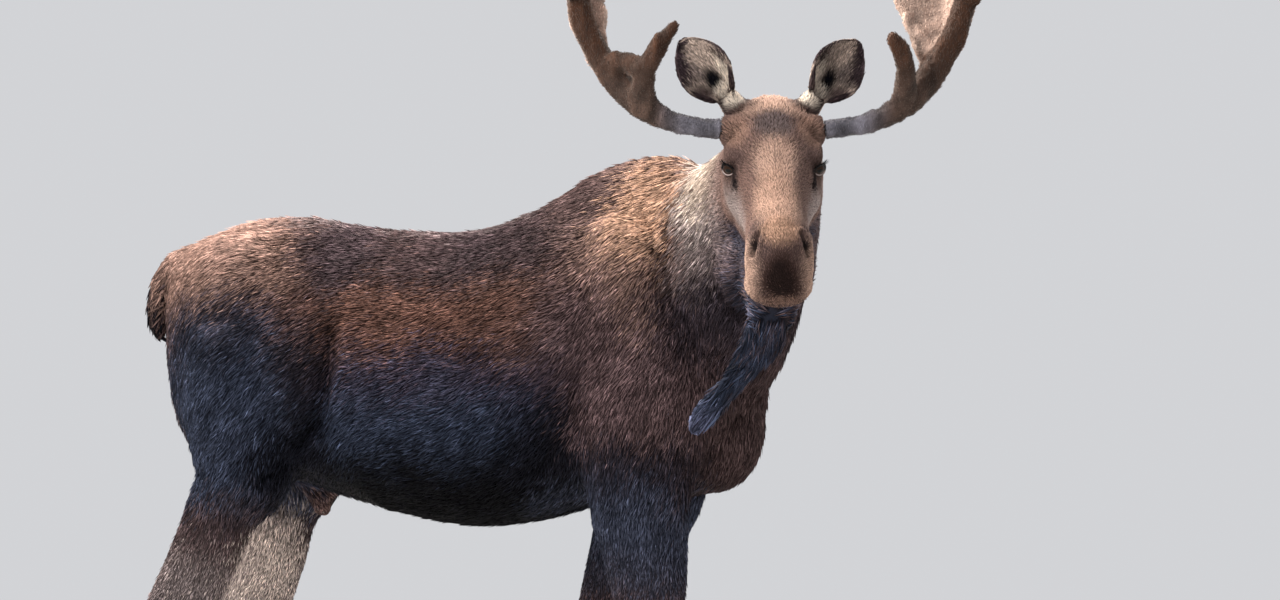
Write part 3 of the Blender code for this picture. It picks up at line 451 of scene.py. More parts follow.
# Hair colours, linear. The bluish dark ones are dark hair with a painted blue sheen of the sky reflected
# in it.
BLACK = (0.003, 0.003, 0.004)
SOOT = (0.0045, 0.0045, 0.007)
DARK_HAIR_SKY_SHEEN = (0.024, 0.0305, 0.051)
DIM_HAIR_SKY_SHEEN = (0.027, 0.022, 0.036)
SEPIA = (0.034, 0.023, 0.026)
UMBER = (0.062, 0.04, 0.04)
HAZEL = (0.098, 0.063, 0.066)
COCOA = (0.05, 0.025, 0.02)
INK = (0.021, 0.018, 0.025)
BELL_END_SKY_SHEEN = (0.075, 0.082, 0.135)
COLD_BROWN = (0.19, 0.155, 0.155)
HUSK = (0.235, 0.148, 0.122)
ASHEN = (0.132, 0.104, 0.105)
PALE_LEG = (0.6, 0.5, 0.455)
DRAB = (0.4, 0.315, 0.265)
LINING = (0.72, 0.62, 0.52)
HONEY = (0.44, 0.285, 0.215)
THIGH_HAIR_SKY_SHEEN = (0.031, 0.038, 0.062)
ARM_HAIR_SKY_SHEEN = (0.043, 0.05, 0.078)
BRACKEN = (0.072, 0.038, 0.029)
RUSSET = (0.08, 0.039, 0.029)
CHESTNUT = (0.195, 0.122, 0.102)
TAN = (0.28, 0.172, 0.132)
SAND = (0.37, 0.228, 0.16)
FAWN = (0.5, 0.335, 0.262)
CREAM = (0.56, 0.46, 0.37)
ASH = (0.33, 0.275, 0.26)
SMOKE = (0.105, 0.082, 0.082)
PINK = (0.13, 0.08, 0.072)
NOSE_RED = (0.085, 0.046, 0.038)
NOSE_DARK = (0.02, 0.012, 0.011)

MARKS_GRAIN, MARKS_WANDER = 9.0, 0.060  # how fine and how far the markings' edges wander
# Markings: an ellipsoid's middle and reach, its colour, and how much is laid over the last.
BODY_MARKS = (
    ((-0.55, 0, 1.58), (0.9, 0.5, 0.34), BRACKEN, 0.95),
    ((-0.55, 0.25, 1.4), (0.5, 0.34, 0.13), RUSSET, 0.8),
    ((-1.06, 0, 1.56), (0.26, 0.4, 0.23), HUSK, 0.95),
    ((-1.16, 0, 1.49), (0.16, 0.4, 0.15), TAN, 0.25),
    ((-0.76, 0.1, 1.55), (0.17, 0.4, 0.16), SEPIA, 1),
    ((-0.5, 0.1, 1.56), (0.24, 0.34, 0.15), SEPIA, 0.85),
    ((-0.3, 0.1, 1.6), (0.26, 0.34, 0.14), SEPIA, 0.9),
    ((-0.6, 0, 1.67), (0.5, 0.11, 0.08), ASHEN, 0.9),
    # dark hair of the lower flank, with a painted blue sky sheen
    ((-0.45, 0.2, 1.2), (0.55, 0.46, 0.18), DIM_HAIR_SKY_SHEEN, 0.9),
    ((-0.5, 0.2, 1.08), (0.6, 0.46, 0.22), DARK_HAIR_SKY_SHEEN, 1),
    ((-0.45, 0.1, 0.9), (0.8, 0.5, 0.27), BLACK, 1),
    ((-0.12, 0.25, 1.04), (0.22, 0.3, 0.28), SOOT, 0.9),
    # dark thigh hair with a painted blue sky sheen
    ((-1.04, 0.2, 1.16), (0.32, 0.4, 0.37), THIGH_HAIR_SKY_SHEEN, 1),
    ((-1.02, 0.24, 1.34), (0.22, 0.2, 0.1), SOOT, 0.45),
    # painted shade: near-black in the hollow before the thigh and along the stifle fold
    ((-0.8, 0.24, 1.2), (0.09, 0.2, 0.28), SOOT, 0.8),
    ((-0.86, 0.2, 1.05), (0.15, 0.2, 0.15), SOOT, 0.9),
    ((-1.27, 0.12, 1.14), (0.08, 0.16, 0.22), SMOKE, 0.7),
    ((0, 0.2, 1.38), (0.24, 0.26, 0.34), HAZEL, 0.75),
    ((0.04, 0.1, 1.62), (0.25, 0.34, 0.28), CHESTNUT, 1),
    ((0.05, 0.12, 1.7), (0.11, 0.24, 0.2), SAND, 0.95),
    ((0.02, 0.16, 1.6), (0.1, 0.24, 0.1), SAND, 0.6),
    ((-0.14, 0.1, 1.7), (0.14, 0.26, 0.15), UMBER, 0.85),
    ((0.02, 0, 1.83), (0.22, 0.12, 0.06), UMBER, 0.8),
    ((0.1, 0.2, 1.62), (0.038, 0.18, 0.19), COCOA, 0.95),
    ((0.03, 0.22, 1.45), (0.04, 0.14, 0.15), CHESTNUT, 0.7),
    ((0.02, 0.24, 1.24), (0.07, 0.14, 0.18), HAZEL, 0.9),
    ((-0.06, 0.24, 1.11), (0.06, 0.12, 0.16), HAZEL, 0.9),
    ((0.13, 0.22, 1.42), (0.035, 0.14, 0.14), BRACKEN, 0.7),
    ((0.17, 0.2, 1.26), (0.11, 0.2, 0.24), HAZEL, 0.6),
    ((0.04, 0.2, 1), (0.26, 0.24, 0.16), INK, 0.9),
    # dark forearm hair with a painted blue sky sheen
    ((0, 0.2, 0.84), (0.34, 0.3, 0.22), ARM_HAIR_SKY_SHEEN, 0.95),
    ((-0.05, 0.17, 0.45), (0.6, 0.3, 0.46), UMBER, 0.6),
    ((0.26, 0, 1.1), (0.16, 0.22, 0.26), UMBER, 0.8),
    ((-1.1, 0.2, 0.86), (0.26, 0.24, 0.13), UMBER, 0.8),
    ((-1.14, 0.22, 0.66), (0.26, 0.16, 0.24), COLD_BROWN, 0.95),
    ((-1.06, 0.09, 0.72), (0.26, 0.09, 0.3), PALE_LEG, 1),
    ((-1.12, 0.19, 0.2), (0.3, 0.24, 0.3), SMOKE, 0.7),
)
NECK_MARKS = (
    ((-0.87, 0, 0.97), (0.12, 0.1, 0.08), UMBER, 0.9),
    ((-0.86, 0, 0.91), (0.07, 0.07, 0.08), PINK, 1),
    ((0.24, -0.12, 1.64), (0.18, 0.3, 0.25), ASHEN, 0.95),
    ((0.22, -0.14, 1.7), (0.13, 0.24, 0.17), ASH, 0.9),
    ((0.21, -0.14, 1.75), (0.1, 0.2, 0.12), CREAM, 0.65),
    ((0.26, -0.1, 1.42), (0.26, 0.3, 0.18), INK, 0.85),
    # the bell's dark hair and its tip, with a painted blue sky sheen
    ((0.33, -0.335, 1.28), (0.24, 0.105, 0.34), DARK_HAIR_SKY_SHEEN, 1),
    ((0.34, -0.35, 1.32), (0.07, 0.06, 0.2), SOOT, 0.6),
    ((0.25, -0.35, 1.165), (0.1, 0.08, 0.12), BELL_END_SKY_SHEEN, 0.9),
    ((-1.28, 0, 1.51), (0.1, 0.1, 0.12), HUSK, 0.9),
    ((-1.335, 0, 1.44), (0.06, 0.12, 0.13), SOOT, 1),
    ((-1.3, 0, 1.345), (0.08, 0.1, 0.08), SOOT, 1),
)
HEAD_MARKS = (
    ((0.05, 0, -0.05), (0.56, 0.24, 0.26), CHESTNUT, 0.95),
    ((-0.16, 0, 0.06), (0.18, 0.18, 0.14), CHESTNUT, 0.9),
    ((-0.14, 0, 0.115), (0.1, 0.14, 0.06), FAWN, 1),
    ((-0.04, 0.085, 0.068), (0.07, 0.05, 0.05), TAN, 0.9),
    ((-0.025, 0, 0.098), (0.08, 0.064, 0.06), SMOKE, 0.85),
    ((0.14, 0.11, -0.08), (0.2, 0.07, 0.09), ASH, 0.8),
    ((0.12, 0, 0.08), (0.14, 0.075, 0.07), FAWN, 0.95),
    ((0.28, 0, 0.04), (0.2, 0.078, 0.09), HONEY, 0.85),
    ((0.42, 0, 0.03), (0.07, 0.065, 0.04), SAND, 0.9),
    # dark hair under the jaw with a painted blue sky sheen
    ((-0.06, 0, -0.2), (0.28, 0.14, 0.1), DARK_HAIR_SKY_SHEEN, 0.9),
    ((0.045, 0.092, 0.034), (0.05, 0.034, 0.03), UMBER, 0.55),
    ((0.046, 0.104, 0.004), (0.042, 0.024, 0.026), SOOT, 0.75),
    ((0.068, 0.094, -0.01), (0.036, 0.022, 0.026), SOOT, 0.9),
    ((0.466, 0, -0.064), (0.09, 0.054, 0.082), NOSE_RED, 1),
    ((0.45, 0.092, -0.078), (0.12, 0.062, 0.13), FAWN, 0.95),
    ((0.43, 0.057, -0.002), (0.022, 0.015, 0.022), SOOT, 0.85),
    ((0.482, 0, -0.068), (0.06, 0.045, 0.08), NOSE_DARK, 0.95),
    ((0.475, 0, -0.13), (0.05, 0.085, 0.024), TAN, 0.7),
)
EAR_MARKS = (
    ((0.1, 0, 0), (0.22, 0.12, 0.07), SEPIA, 1),
    ((0.11, 0.002, 0.009), (0.19, 0.095, 0.0135), DRAB, 1),
    ((0.118, 0.026, 0.009), (0.045, 0.02, 0.0135), SMOKE, 0.7),
    ((0.08, 0.004, 0.009), (0.05, 0.027, 0.0135), SOOT, 1),
    ((0.084, -0.031, 0.009), (0.062, 0.02, 0.0135), LINING, 1),
    ((0.046, -0.004, 0.009), (0.03, 0.03, 0.0135), LINING, 0.9),
    ((0.05, 0.038, 0.009), (0.052, 0.024, 0.0135), UMBER, 0.9),
    ((0.03, -0.034, 0.009), (0.036, 0.018, 0.0135), SOOT, 0.9),
    ((0.012, -0.01, 0.012), (0.036, 0.028, 0.03), LINING, 1),
)
MARKED = (("body", BODY_MARKS), ("neck", NECK_MARKS), ("head", HEAD_MARKS), ("ear", EAR_MARKS))
MARKINGS = [(space, *mark) for space, marks in MARKED for mark in marks]


def wandered(points):
    """Points of the body moved about by a slow noise, so that its markings have uneven edges."""
    head = spaces(points)["head"]
    still = np.maximum(
        inside(head, (0.10, 0, 0), (0.52, 0.28, 0.32), 0.3),
        inside(head, (-0.25, 0.145, 0.16), (0.20, 0.20, 0.24), 0.2),
    )
    slow = [noise_at(points * MARKS_GRAIN + (far, 0, 0)) for far in (0, 40, 80)]
    slow = np.stack(slow, axis=1)
    return points + slow * (MARKS_WANDER * (1 - still))[:, None]


def coat_colour(points):
    """The coat's colour there, with painted shade darkening it down in the creases."""
    body = spaces(points)["body"]
    points = wandered(points)
    shade = np.ones(len(points))
    # painted shade along each crease
    for _, width, line in CREASES:
        shade *= 1 - ridge(distance_to_line(body, line), 0, width * 0.8, 0.6)
    return laid_over(points, UMBER, MARKINGS) * shade[:, None]


def colour_layer(mesh, name, colours):
    """A colour for every vertex, that the material reads by name."""
    layer = mesh.color_attributes.new(name, "FLOAT_COLOR", "POINT")
    rgba = np.ones((len(mesh.vertices), 4), np.float32)
    rgba[:, :3] = colours
    layer.data.foreach_set("color", rgba.ravel())


class Wire:
    """A socket of a material's nodes, for arithmetic on what flows through it."""

    def __init__(self, tree, socket):
        self.tree, self.socket = tree, socket

    def math(self, operation, a, b):
        return added(self.tree, "ShaderNodeMath", {"operation": operation}, {0: a, 1: b})

    def __add__(self, other):
        return self.math("ADD", self, other)

    def __mul__(self, other):
        return self.math("MULTIPLY", self, other)

    __radd__ = __add__
    __rmul__ = __mul__


def added(tree, kind, settings=None, inputs=None, output=0):
    """A node of that type, with its settings and its sockets' values or links; gives its output."""
    node = tree.nodes.new(kind)
    for name, value in (settings or {}).items():
        setattr(node, name, value)
    for name, value in (inputs or {}).items():
        if isinstance(value, Wire):
            tree.links.new(value.socket, node.inputs[name])
        else:
            node.inputs[name].default_value = value
    return Wire(tree, node.outputs[output])


def blended(tree, share, a, b, way="MIX"):
    """One colour over another, by that share; way is how they combine."""
    settings = {"data_type": "RGBA", "blend_type": way}
    a, b = (v if isinstance(v, Wire) else (*v, 1) for v in (a, b))
    return added(tree, "ShaderNodeMix", settings, {0: share, 6: a, 7: b}, 2)


def surface(name, **fixed):
    """A plain Principled material with its fixed values; gives the material and its tree."""
    made = bpy.data.materials.new(name)
    made.use_nodes = True
    for socket, value in fixed.items():
        shader_socket(made.node_tree, socket).default_value = value
    return made, made.node_tree


def shader_socket(tree, name):
    return tree.nodes["Principled BSDF"].inputs[name.replace("_", " ")]


def feed(tree, **wires):
    for name, wire in wires.items():
        tree.links.new(wire.socket, shader_socket(tree, name))


def own_colour(tree, layer="coat"):
    """The colour that the mesh itself gives at each point."""
    return added(tree, "ShaderNodeAttribute", {"attribute_name": layer})


def coat_times(tree, shade):
    """The coat's own colour, made darker or lighter by a number."""
    grey = added(tree, "ShaderNodeCombineColor", None, {0: shade, 1: shade, 2: shade})
    return blended(tree, 1.0, own_colour(tree), grey, "MULTIPLY")


def speckle(tree, place, scale, detail):
    return added(tree, "ShaderNodeTexNoise", None, {"Vector": place, "Scale": scale, "Detail": detail})


def relief(tree, height, strength, distance):
    inputs = {"Strength": strength, "Distance": distance, "Height": height}
    return added(tree, "ShaderNodeBump", None, inputs)


def dressed(obj, material):
    """Smooth, and in that material alone."""
    obj.data.shade_smooth()
    obj.data.materials.clear()
    obj.data.materials.append(material)


UNDERCOAT = 0.6  # the hide shows this much of the hair's colour

hide_finish, tree = surface("hide", Roughness=0.6, Specular_IOR_Level=0.03)
place = added(tree, "ShaderNodeTexCoord", output=3)
fibres = added(tree, "ShaderNodeMapping", None, {"Vector": place, "Scale": (70, 260, 200)})
strands = speckle(tree, fibres, 1.0, 4.0)
shade = strands * 0.7 + speckle(tree, place, 28.0, 3.0) * 0.5 + 0.1
feed(tree, Base_Color=coat_times(tree, shade), Normal=relief(tree, strands, 0.5, 0.002))

colour_layer(hide.data, "coat", coat_colour(vertices_of(hide.data)[0]) * UNDERCOAT)
dressed(hide, hide_finish)
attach(hide, "root")
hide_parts(*flesh)

# ------------ the coat
# Sleek summer hair, in thin pointed tufts that lie along the body and overlap like thatch.
# It parts over the croup, runs back along the ribs and down the limbs, and up the face from the
# nose; it is longest on hump, neck, bell and tail and shortest on the face and lower legs.

# The lie of the hair: places and the way that it runs there, mirrored on body and head.
LIE_OF_BODY = (
    ((-1.22, 0.05, 1.5), (-0.6, 0.1, -0.8)), ((-1.05, 0.15, 1.6), (-0.95, 0.25, -0.25)),
    ((-0.6, 0.1, 1.62), (-1, 0.15, -0.05)), ((-0.6, 0.25, 1.45), (-1, 0.1, -0.25)),
    ((-0.25, 0.1, 1.7), (-0.95, 0.15, -0.25)), ((-0.3, 0.25, 1.45), (-0.9, 0.1, -0.45)),
    ((0, 0.08, 1.79), (-0.9, 0.25, -0.2)), ((0.02, 0.18, 1.62), (-0.75, 0.2, -0.6)),
    ((0.18, 0.08, 1.7), (-0.6, 0.3, -0.7)), ((0, 0.25, 1.35), (-0.5, 0, -0.85)),
    ((0.12, 0.2, 1.2), (-0.2, 0.1, -1)), ((-0.05, 0.25, 1.02), (-0.25, 0, -1)),
    ((-0.22, 0.28, 1.2), (-0.75, 0, -0.65)), ((-0.5, 0.29, 1.2), (-0.95, 0, -0.35)),
    ((-0.5, 0.22, 0.98), (-0.95, 0, -0.3)), ((-0.5, 0.04, 0.89), (-1, 0, 0)),
    ((-0.8, 0.26, 1.2), (-0.75, 0, -0.65)), ((-1, 0.25, 1.38), (-0.75, 0.1, -0.65)),
    ((-1.02, 0.26, 1.18), (-0.55, 0, -0.85)), ((-1.18, 0.18, 1.25), (-0.3, 0, -1)),
    ((-0.88, 0.22, 1.02), (-0.45, 0, -0.9)), ((0.25, 0.05, 1.1), (-0.15, 0, -1)),
    ((-0.85, 0, 1), (0.3, 0, -1)), ((-0.05, 0.17, 0.75), (0, 0, -1)),
    ((-0.05, 0.17, 0.3), (0, 0, -1)), ((-1.1, 0.17, 0.75), (-0.35, 0, -0.9)),
    ((-1.12, 0.17, 0.3), (0, 0, -1)),
)
LIE_OF_NECK = (
    ((0.36, -0.1, 1.8), (-0.6, 0.6, -0.4)), ((0.22, 0.05, 1.66), (-0.7, 0.5, -0.5)),
    ((0.22, -0.16, 1.62), (-0.85, 0.1, -0.6)), ((0.33, -0.22, 1.62), (-0.6, 0.2, -0.8)),
    ((0.2, -0.15, 1.4), (-0.35, 0, -0.95)), ((0.38, -0.02, 1.6), (-0.2, 0.6, -0.8)),
    ((0.3, 0.04, 1.4), (-0.1, 0.3, -1)), ((0.43, -0.28, 1.5), (-0.1, 0, -1)),
    ((0.42, -0.32, 1.4), (-0.1, 0, -1)), ((0.37, -0.33, 1.3), (-0.6, -0.1, -0.8)),
    ((0.3, -0.34, 1.2), (-0.65, -0.1, -0.75)), ((0.23, -0.35, 1.12), (-0.55, 0, -0.8)),
    ((-1.24, 0, 1.51), (-0.7, 0, -0.7)), ((-1.29, 0, 1.42), (-0.1, 0, -1)),
    ((-1.29, 0, 1.33), (0, 0, -1)),
)
LIE_OF_HEAD = (
    ((0.48, 0, -0.05), (-0.3, 0.15, 1)), ((0.47, 0.04, -0.12), (-0.2, 0.5, -0.7)),
    ((0.42, 0.08, -0.09), (-0.6, 0, -0.7)), ((0.38, 0.07, -0.04), (-0.9, 0, -0.3)),
    ((0.4, 0.03, 0.04), (-1, 0.15, 0.2)), ((0.25, 0, 0.05), (-1, 0.1, 0)),
    ((0.25, 0.07, -0.05), (-1, 0, -0.25)), ((0.08, 0, 0.08), (-0.9, 0.25, 0.1)),
    ((-0.02, 0, 0.1), (-1, 0.1, 0.2)), ((0.05, 0.08, 0.04), (-0.7, 0.5, 0.2)),
    ((-0.08, 0.1, 0.06), (-0.9, 0.4, -0.1)), ((-0.18, 0, 0.1), (-1, 0.1, -0.1)),
    ((-0.24, 0, 0.06), (-0.8, 0.1, -0.6)), ((0.06, 0.11, -0.05), (-0.8, 0, -0.5)),
    ((-0.04, 0.12, -0.06), (-0.9, 0, -0.4)), ((-0.1, 0.12, -0.15), (-0.8, 0, -0.6)),
    ((-0.05, 0.03, -0.22), (-0.9, 0.1, -0.4)), ((0.2, 0.03, -0.18), (-1, 0.1, -0.1)),
    ((0.38, 0.02, -0.18), (-0.9, 0.1, -0.4)),
)


NEAR_ON_BODY, NEAR_ON_HEAD = 0.002, 0.0004  # within the root of this, guides pull alike


def pull_ways(ways, at, guides, near, side):
    """Adds each guide's way, by how near it is, to the ways of the points at those places."""
    for place, way in guides:
        pull = 1 / (np.sum((at - place) ** 2, axis=1) + near) ** 2
        way = np.tile(unit(way), (len(at), 1))
        way[:, 1] *= side
        ways += way * pull[:, None]


def lie_of_hair(points, on_head):
    """The way that the hair runs at each point, before it is laid on the hide; it parts round the
    eyes and the nostrils."""
    ways, head_ways = np.zeros_like(points), np.zeros_like(points)
    body, head = points - withers, in_head(points)
    pull_ways(ways, both_sides(body), LIE_OF_BODY, NEAR_ON_BODY, side_of(body))
    pull_ways(ways, body, LIE_OF_NECK, NEAR_ON_BODY, 1)
    folded, head_side = both_sides(head), side_of(head)
    pull_ways(head_ways, folded, LIE_OF_HEAD, NEAR_ON_HEAD, head_side)
    distance, share, clear = round_the_eye(folded)
    clear[:, 1] *= head_side
    part = ramp(share, 2.6, -1.3) * (distance < 0.07)
    head_ways = unit(head_ways) + clear * (part * 2.2)[:, None]
    nostril = folded - NOSTRIL_LINE[1]
    nostril[:, 1] *= head_side
    part = ridge(distance_to_line(folded, NOSTRIL_LINE), 0, 0.018, 1.5)
    head_ways += unit(nostril) * part[:, None]
    return unit(np.where(on_head[:, None], unit(head_ways) @ head_axes, unit(ways)))


def mesh_of(name, points, faces):
    mesh = bpy.data.meshes.new(name)
    mesh.from_pydata(points.tolist(), [], faces.tolist())
    return mesh


class Ground:
    """A closed mesh that hair grows on: its triangles, normals, nearest points and flat layout."""

    def __init__(self, obj):
        mesh = obj.data
        self.points, self.outward = vertices_of(mesh)
        corners = np.empty(len(mesh.loops), np.int32)
        mesh.loops.foreach_get("vertex_index", corners)
        self.faces = corners.reshape(-1, 3)
        self.tree = BVHTree.FromPolygons(self.points.tolist(), self.faces.tolist())
        a, b, c = (self.points[self.faces[:, i]] for i in range(3))
        self.areas = np.linalg.norm(np.cross(b - a, c - a), axis=1) / 2
        self.middles = (a + b + c) / 3

    def layout(self, chosen):
        """The chosen faces laid flat over the unit square: each corner's place on it."""
        faces = self.faces[chosen]
        used, faces = np.unique(faces, return_inverse=True)
        mesh = mesh_of("layout", self.points[used], faces.reshape(-1, 3))
        made = to_scene("layout", mesh)
        bpy.context.view_layer.objects.active = made
        made.select_set(True)
        bpy.ops.object.mode_set(mode="EDIT")
        bpy.ops.mesh.select_all(action="SELECT")
        bpy.ops.uv.smart_project(angle_limit=math.radians(66), island_margin=0.003)
        bpy.ops.object.mode_set(mode="OBJECT")
        places = np.empty(len(mesh.loops) * 2, np.float32)
        mesh.uv_layers.active.data.foreach_get("uv", places)
        bpy.data.objects.remove(made)
        bpy.data.meshes.remove(mesh)
        return places.reshape(-1, 3, 2)

    def on_surface(self, points):
        """The nearest places on the mesh and the way out there."""
        found = [self.tree.find_nearest(p)[:2] for p in points.tolist()]
        return np.array([f[0] for f in found]), np.array([f[1] for f in found])


DRAWN = 2.2  # places drawn for each cell, of which the first is kept


def sprinkled(ground, chosen, spacing, seed):
    """Places on the chosen faces about that far apart: face number and share of its corners."""
    draw = np.random.default_rng(seed)
    wanted = draw.poisson(ground.areas[chosen] / spacing[chosen] ** 2 * DRAWN)
    picked = np.repeat(np.arange(len(chosen)), wanted)
    shares = draw.dirichlet((1, 1, 1), len(picked))
    corners = ground.points[ground.faces[chosen[picked]]]
    at = np.einsum("nc,ncx->nx", shares, corners)
    cells = np.floor(at / spacing[chosen[picked]][:, None]).astype(np.int64)
    first = np.unique(cells, axis=0, return_index=True)[1]
    first.sort()
    return picked[first], shares[first]


STRAY, LOCK, LOCK_GRAIN = 0.16, 0.28, 14  # how far tufts turn aside, one by one and together
LIFTED, LIFT = 0.07, 0.7  # the share of tufts that stand out from the rest, and by how much
ROOT_DEPTH = 0.001
BELLY_AT, BELLY_RISE = 0.45, 0.62  # where a tuft is broadest, and its height there, as shares
# A tuft is a thin closed blade: its root, its two sides and its tip.
TUFT_FACES = np.array(((0, 2, 1), (1, 2, 3), (0, 1, 3), (0, 3, 2)))
TUFT_ALONG = (0, BELLY_AT, BELLY_AT, 1)
UV_PATCH = 0.003  # a tuft's size on the flat layout
TUFT_PATCH = np.array(((0.5, 0), (0, BELLY_AT), (1, BELLY_AT), (0.5, 1))) * UV_PATCH


def tufts(name, ground, chosen, sizes, ways, colour_of, material, seed):
    """Tufts over the chosen faces. sizes and ways give each face's hair and the way it runs."""
    draw = np.random.default_rng(seed + 1000)
    picked, shares = sprinkled(ground, chosen, sizes[:, 3], seed)
    face = chosen[picked]
    corners = ground.faces[face]
    root = np.einsum("nc,ncx->nx", shares, ground.points[corners])
    out = unit(np.einsum("nc,ncx->nx", shares, ground.outward[corners]))
    place = np.einsum("nc,ncx->nx", shares, ground.layout(chosen)[picked])
    count = len(root)
    way = ways[face]
    way = unit(way - out * np.sum(way * out, axis=1, keepdims=True))
    side = np.cross(way, out)
    stray = draw.normal(0, STRAY, (count, 1)) + noise_at(root * LOCK_GRAIN)[:, None] * LOCK
    way = unit(way + side * stray)
    length, width, height = (sizes[face, i] for i in range(3))
    length = length * draw.uniform(0.75, 1.2, count)
    height = height * draw.uniform(0.75, 1.15, count) * (1 + LIFT * (draw.random(count) < LIFTED))
    width = width * draw.uniform(0.8, 1.2, count)
    belly, belly_out = ground.on_surface(root + way * (length * BELLY_AT)[:, None])
    end, end_out = ground.on_surface(root + way * length[:, None])
    belly += belly_out * (height * BELLY_RISE)[:, None]
    end += end_out * height[:, None]
    side = unit(np.cross(way, belly_out)) * (width / 2)[:, None]
    tilt = belly_out * (width * draw.uniform(-0.35, 0.35, count))[:, None]
    points = np.stack((root - out * ROOT_DEPTH, belly - side - tilt, belly + side + tilt, end), axis=1)
    each = len(TUFT_ALONG)
    faces = (TUFT_FACES[None] + each * np.arange(count)[:, None, None]).reshape(-1, 3)
    places = np.clip(place, 0, 1 - UV_PATCH)[:, None] + TUFT_PATCH[None]
    mesh = mesh_of(name, points.reshape(-1, 3), faces)
    layer = mesh.uv_layers.new(name="OFBake").data
    layer.foreach_set("uv", places.reshape(-1, 2)[faces.ravel()].astype(np.float32).ravel())
    colour_layer(mesh, "coat", np.repeat(colour_of(root, draw), each, axis=0))
    along = mesh.attributes.new("along", "FLOAT", "POINT")
    # along runs from root to tip; on the face its spread is smaller, so the painted shade at the roots
    # and painted light at the tips are weaker there
    on_face = inside(spaces(root)["head"], (0.14, 0, -0.02), (0.52, 0.24, 0.26), 0.3)[:, None]
    steps = 0.5 + (np.array(TUFT_ALONG) - 0.5) * (1 - 0.65 * on_face)
    along.data.foreach_set("value", steps.ravel().astype(np.float32))
    made = to_scene(name, mesh)
    dressed(made, material)
    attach(made, "root")


JITTER = 0.024  # how far one tuft's colour may stray from its place, so that no marking has an edge
TONE_SPREAD, MOTTLE, MOTTLE_GRAIN = 0.50, 0.6, 24  # how tufts differ in tone, one by one and together


def hair_colour(roots, draw):
    strayed = roots + draw.normal(0, JITTER, roots.shape)
    at = spaces(roots)["head"]
    on_head = inside(at, (0.10, 0, 0), (0.55, 0.26, 0.30), 0.3)[:, None]
    on_ear = inside(at, (-0.25, 0.145, 0.145), (0.16, 0.15, 0.17), 0.2)[:, None]
    strayed = roots + (strayed - roots) * (1 - 0.75 * on_head) * (1 - 0.94 * on_ear)
    colours = coat_colour(strayed)
    tone = draw.normal(0, TONE_SPREAD, len(roots)) + noise_at(roots * MOTTLE_GRAIN) * MOTTLE - 0.06
    tone *= (1 - 0.7 * on_head[:, 0]) / (1 + colours[:, 0] * 1.6)
    return colours * np.exp(tone)[:, None]


SAMPLE_STEP, SAMPLES_LEAST = 0.012, 60


def part_labels(points):
    """The name of the node that each point is nearest to."""
    draw = np.random.default_rng(5)
    samples, names = [], []
    for name in flesh:
        mesh = nodes[name].data
        at = vertices_of(mesh)[0]
        corners = np.array([tuple(face.vertices) for face in mesh.polygons])
        a, b, c = (at[corners[:, i]] for i in range(3))
        areas = np.linalg.norm(np.cross(b - a, c - a), axis=1)
        count = int(areas.sum() / 2 / SAMPLE_STEP**2) + SAMPLES_LEAST
        picked = draw.choice(len(corners), count, p=areas / areas.sum())
        shares = draw.dirichlet((1, 1, 1), count)
        samples.append(np.einsum("nc,ncx->nx", shares, at[corners[picked]]))
        names += [name] * count
    samples = np.vstack(samples)
    tree = kdtree.KDTree(len(samples))
    for i, sample in enumerate(samples):
        tree.insert(sample, i)
    tree.balance()
    return np.array([names[tree.find(p)[1]] for p in points.tolist()])


FORE_ENDS, UPPER_STARTS = 0.32, 1.28  # behind the withers, and up, where the trunk's coat is parted
BARE_LID, BARE_NOSTRIL = 1.22, 0.007  # how far no hair grows round the eyes and nostrils
EAR_FAN = 9  # how fast the hair fans out over an ear

hide_ground = Ground(hide)
middles = hide_ground.middles
labels = part_labels(middles)
on_right = middles[:, 1] < withers[1]
head_right = in_head(middles)[:, 1] < 0
fore = middles[:, 0] > withers[0] - FORE_ENDS
upper = middles[:, 2] > UPPER_STARTS
is_ear = np.char.startswith(labels, "ear")
is_head = (labels == "head") | is_ear
folded = both_sides(in_head(middles))
eye_distance, eye_share, _ = round_the_eye(folded)
bare = (eye_distance < 0.04) & (eye_share < BARE_LID)
bare |= distance_to_line(folded, NOSTRIL_LINE) < BARE_NOSTRIL
sizes = laid_over(middles, COAT, COAT_ZONES)
ways = lie_of_hair(middles, is_head)
for side, sign in SIDES:
    of_ear = labels == f"ear_{side}"
    ear = spaces(middles[of_ear])["ear"]
    fan = ear_up + ear_axes[1] * (ear[:, 1] * EAR_FAN)[:, None]
    ways[of_ear] = unit(fan * (1, sign, 1)) @ head_axes

hair, tree = surface("hair", Roughness=0.6, Specular_IOR_Level=0.03)
along = added(tree, "ShaderNodeAttribute", {"attribute_name": "along"}, output=2)
# painted shade darkens each tuft at its root, down among the others, and painted light brightens its tip
feed(tree, Base_Color=coat_times(tree, along * 1.45 + 0.28))

halves = (("right", on_right), ("left", ~on_right))
trunk, head = labels == "trunk", labels == "head"
regions = {f"coat_fore_{side}": trunk & half & fore for side, half in halves}
for side, half in halves:
    regions[f"coat_hind_{side}_upper"] = trunk & half & ~fore & upper
    regions[f"coat_hind_{side}_lower"] = trunk & half & ~fore & ~upper
regions |= {
    "coat_neck": labels == "neck",
    "coat_head_right": head & head_right,
    "coat_head_left": head & ~head_right,
    "coat_ears": is_ear,
    "coat_bell": labels == "bell",
    "coat_tail": (labels == "tail") | (labels == "sheath"),
}
regions |= {f"coat_leg_{leg}": np.char.startswith(labels, leg) for leg in LEGS}
for number, (name, chosen) in enumerate(regions.items()):
    chosen = np.nonzero(chosen & ~bare)[0]
    tufts(name, hide_ground, chosen, sizes, ways, hair_colour, hair, number)

# ------------ the eyes
# Dark brown eyes with a lying oval pupil and a wet surface, set under dark lids.
# The lid is a ring of bare skin rolled round the opening, with a painted pale glint where it is wet
# below.

LID_SEGMENTS = 48
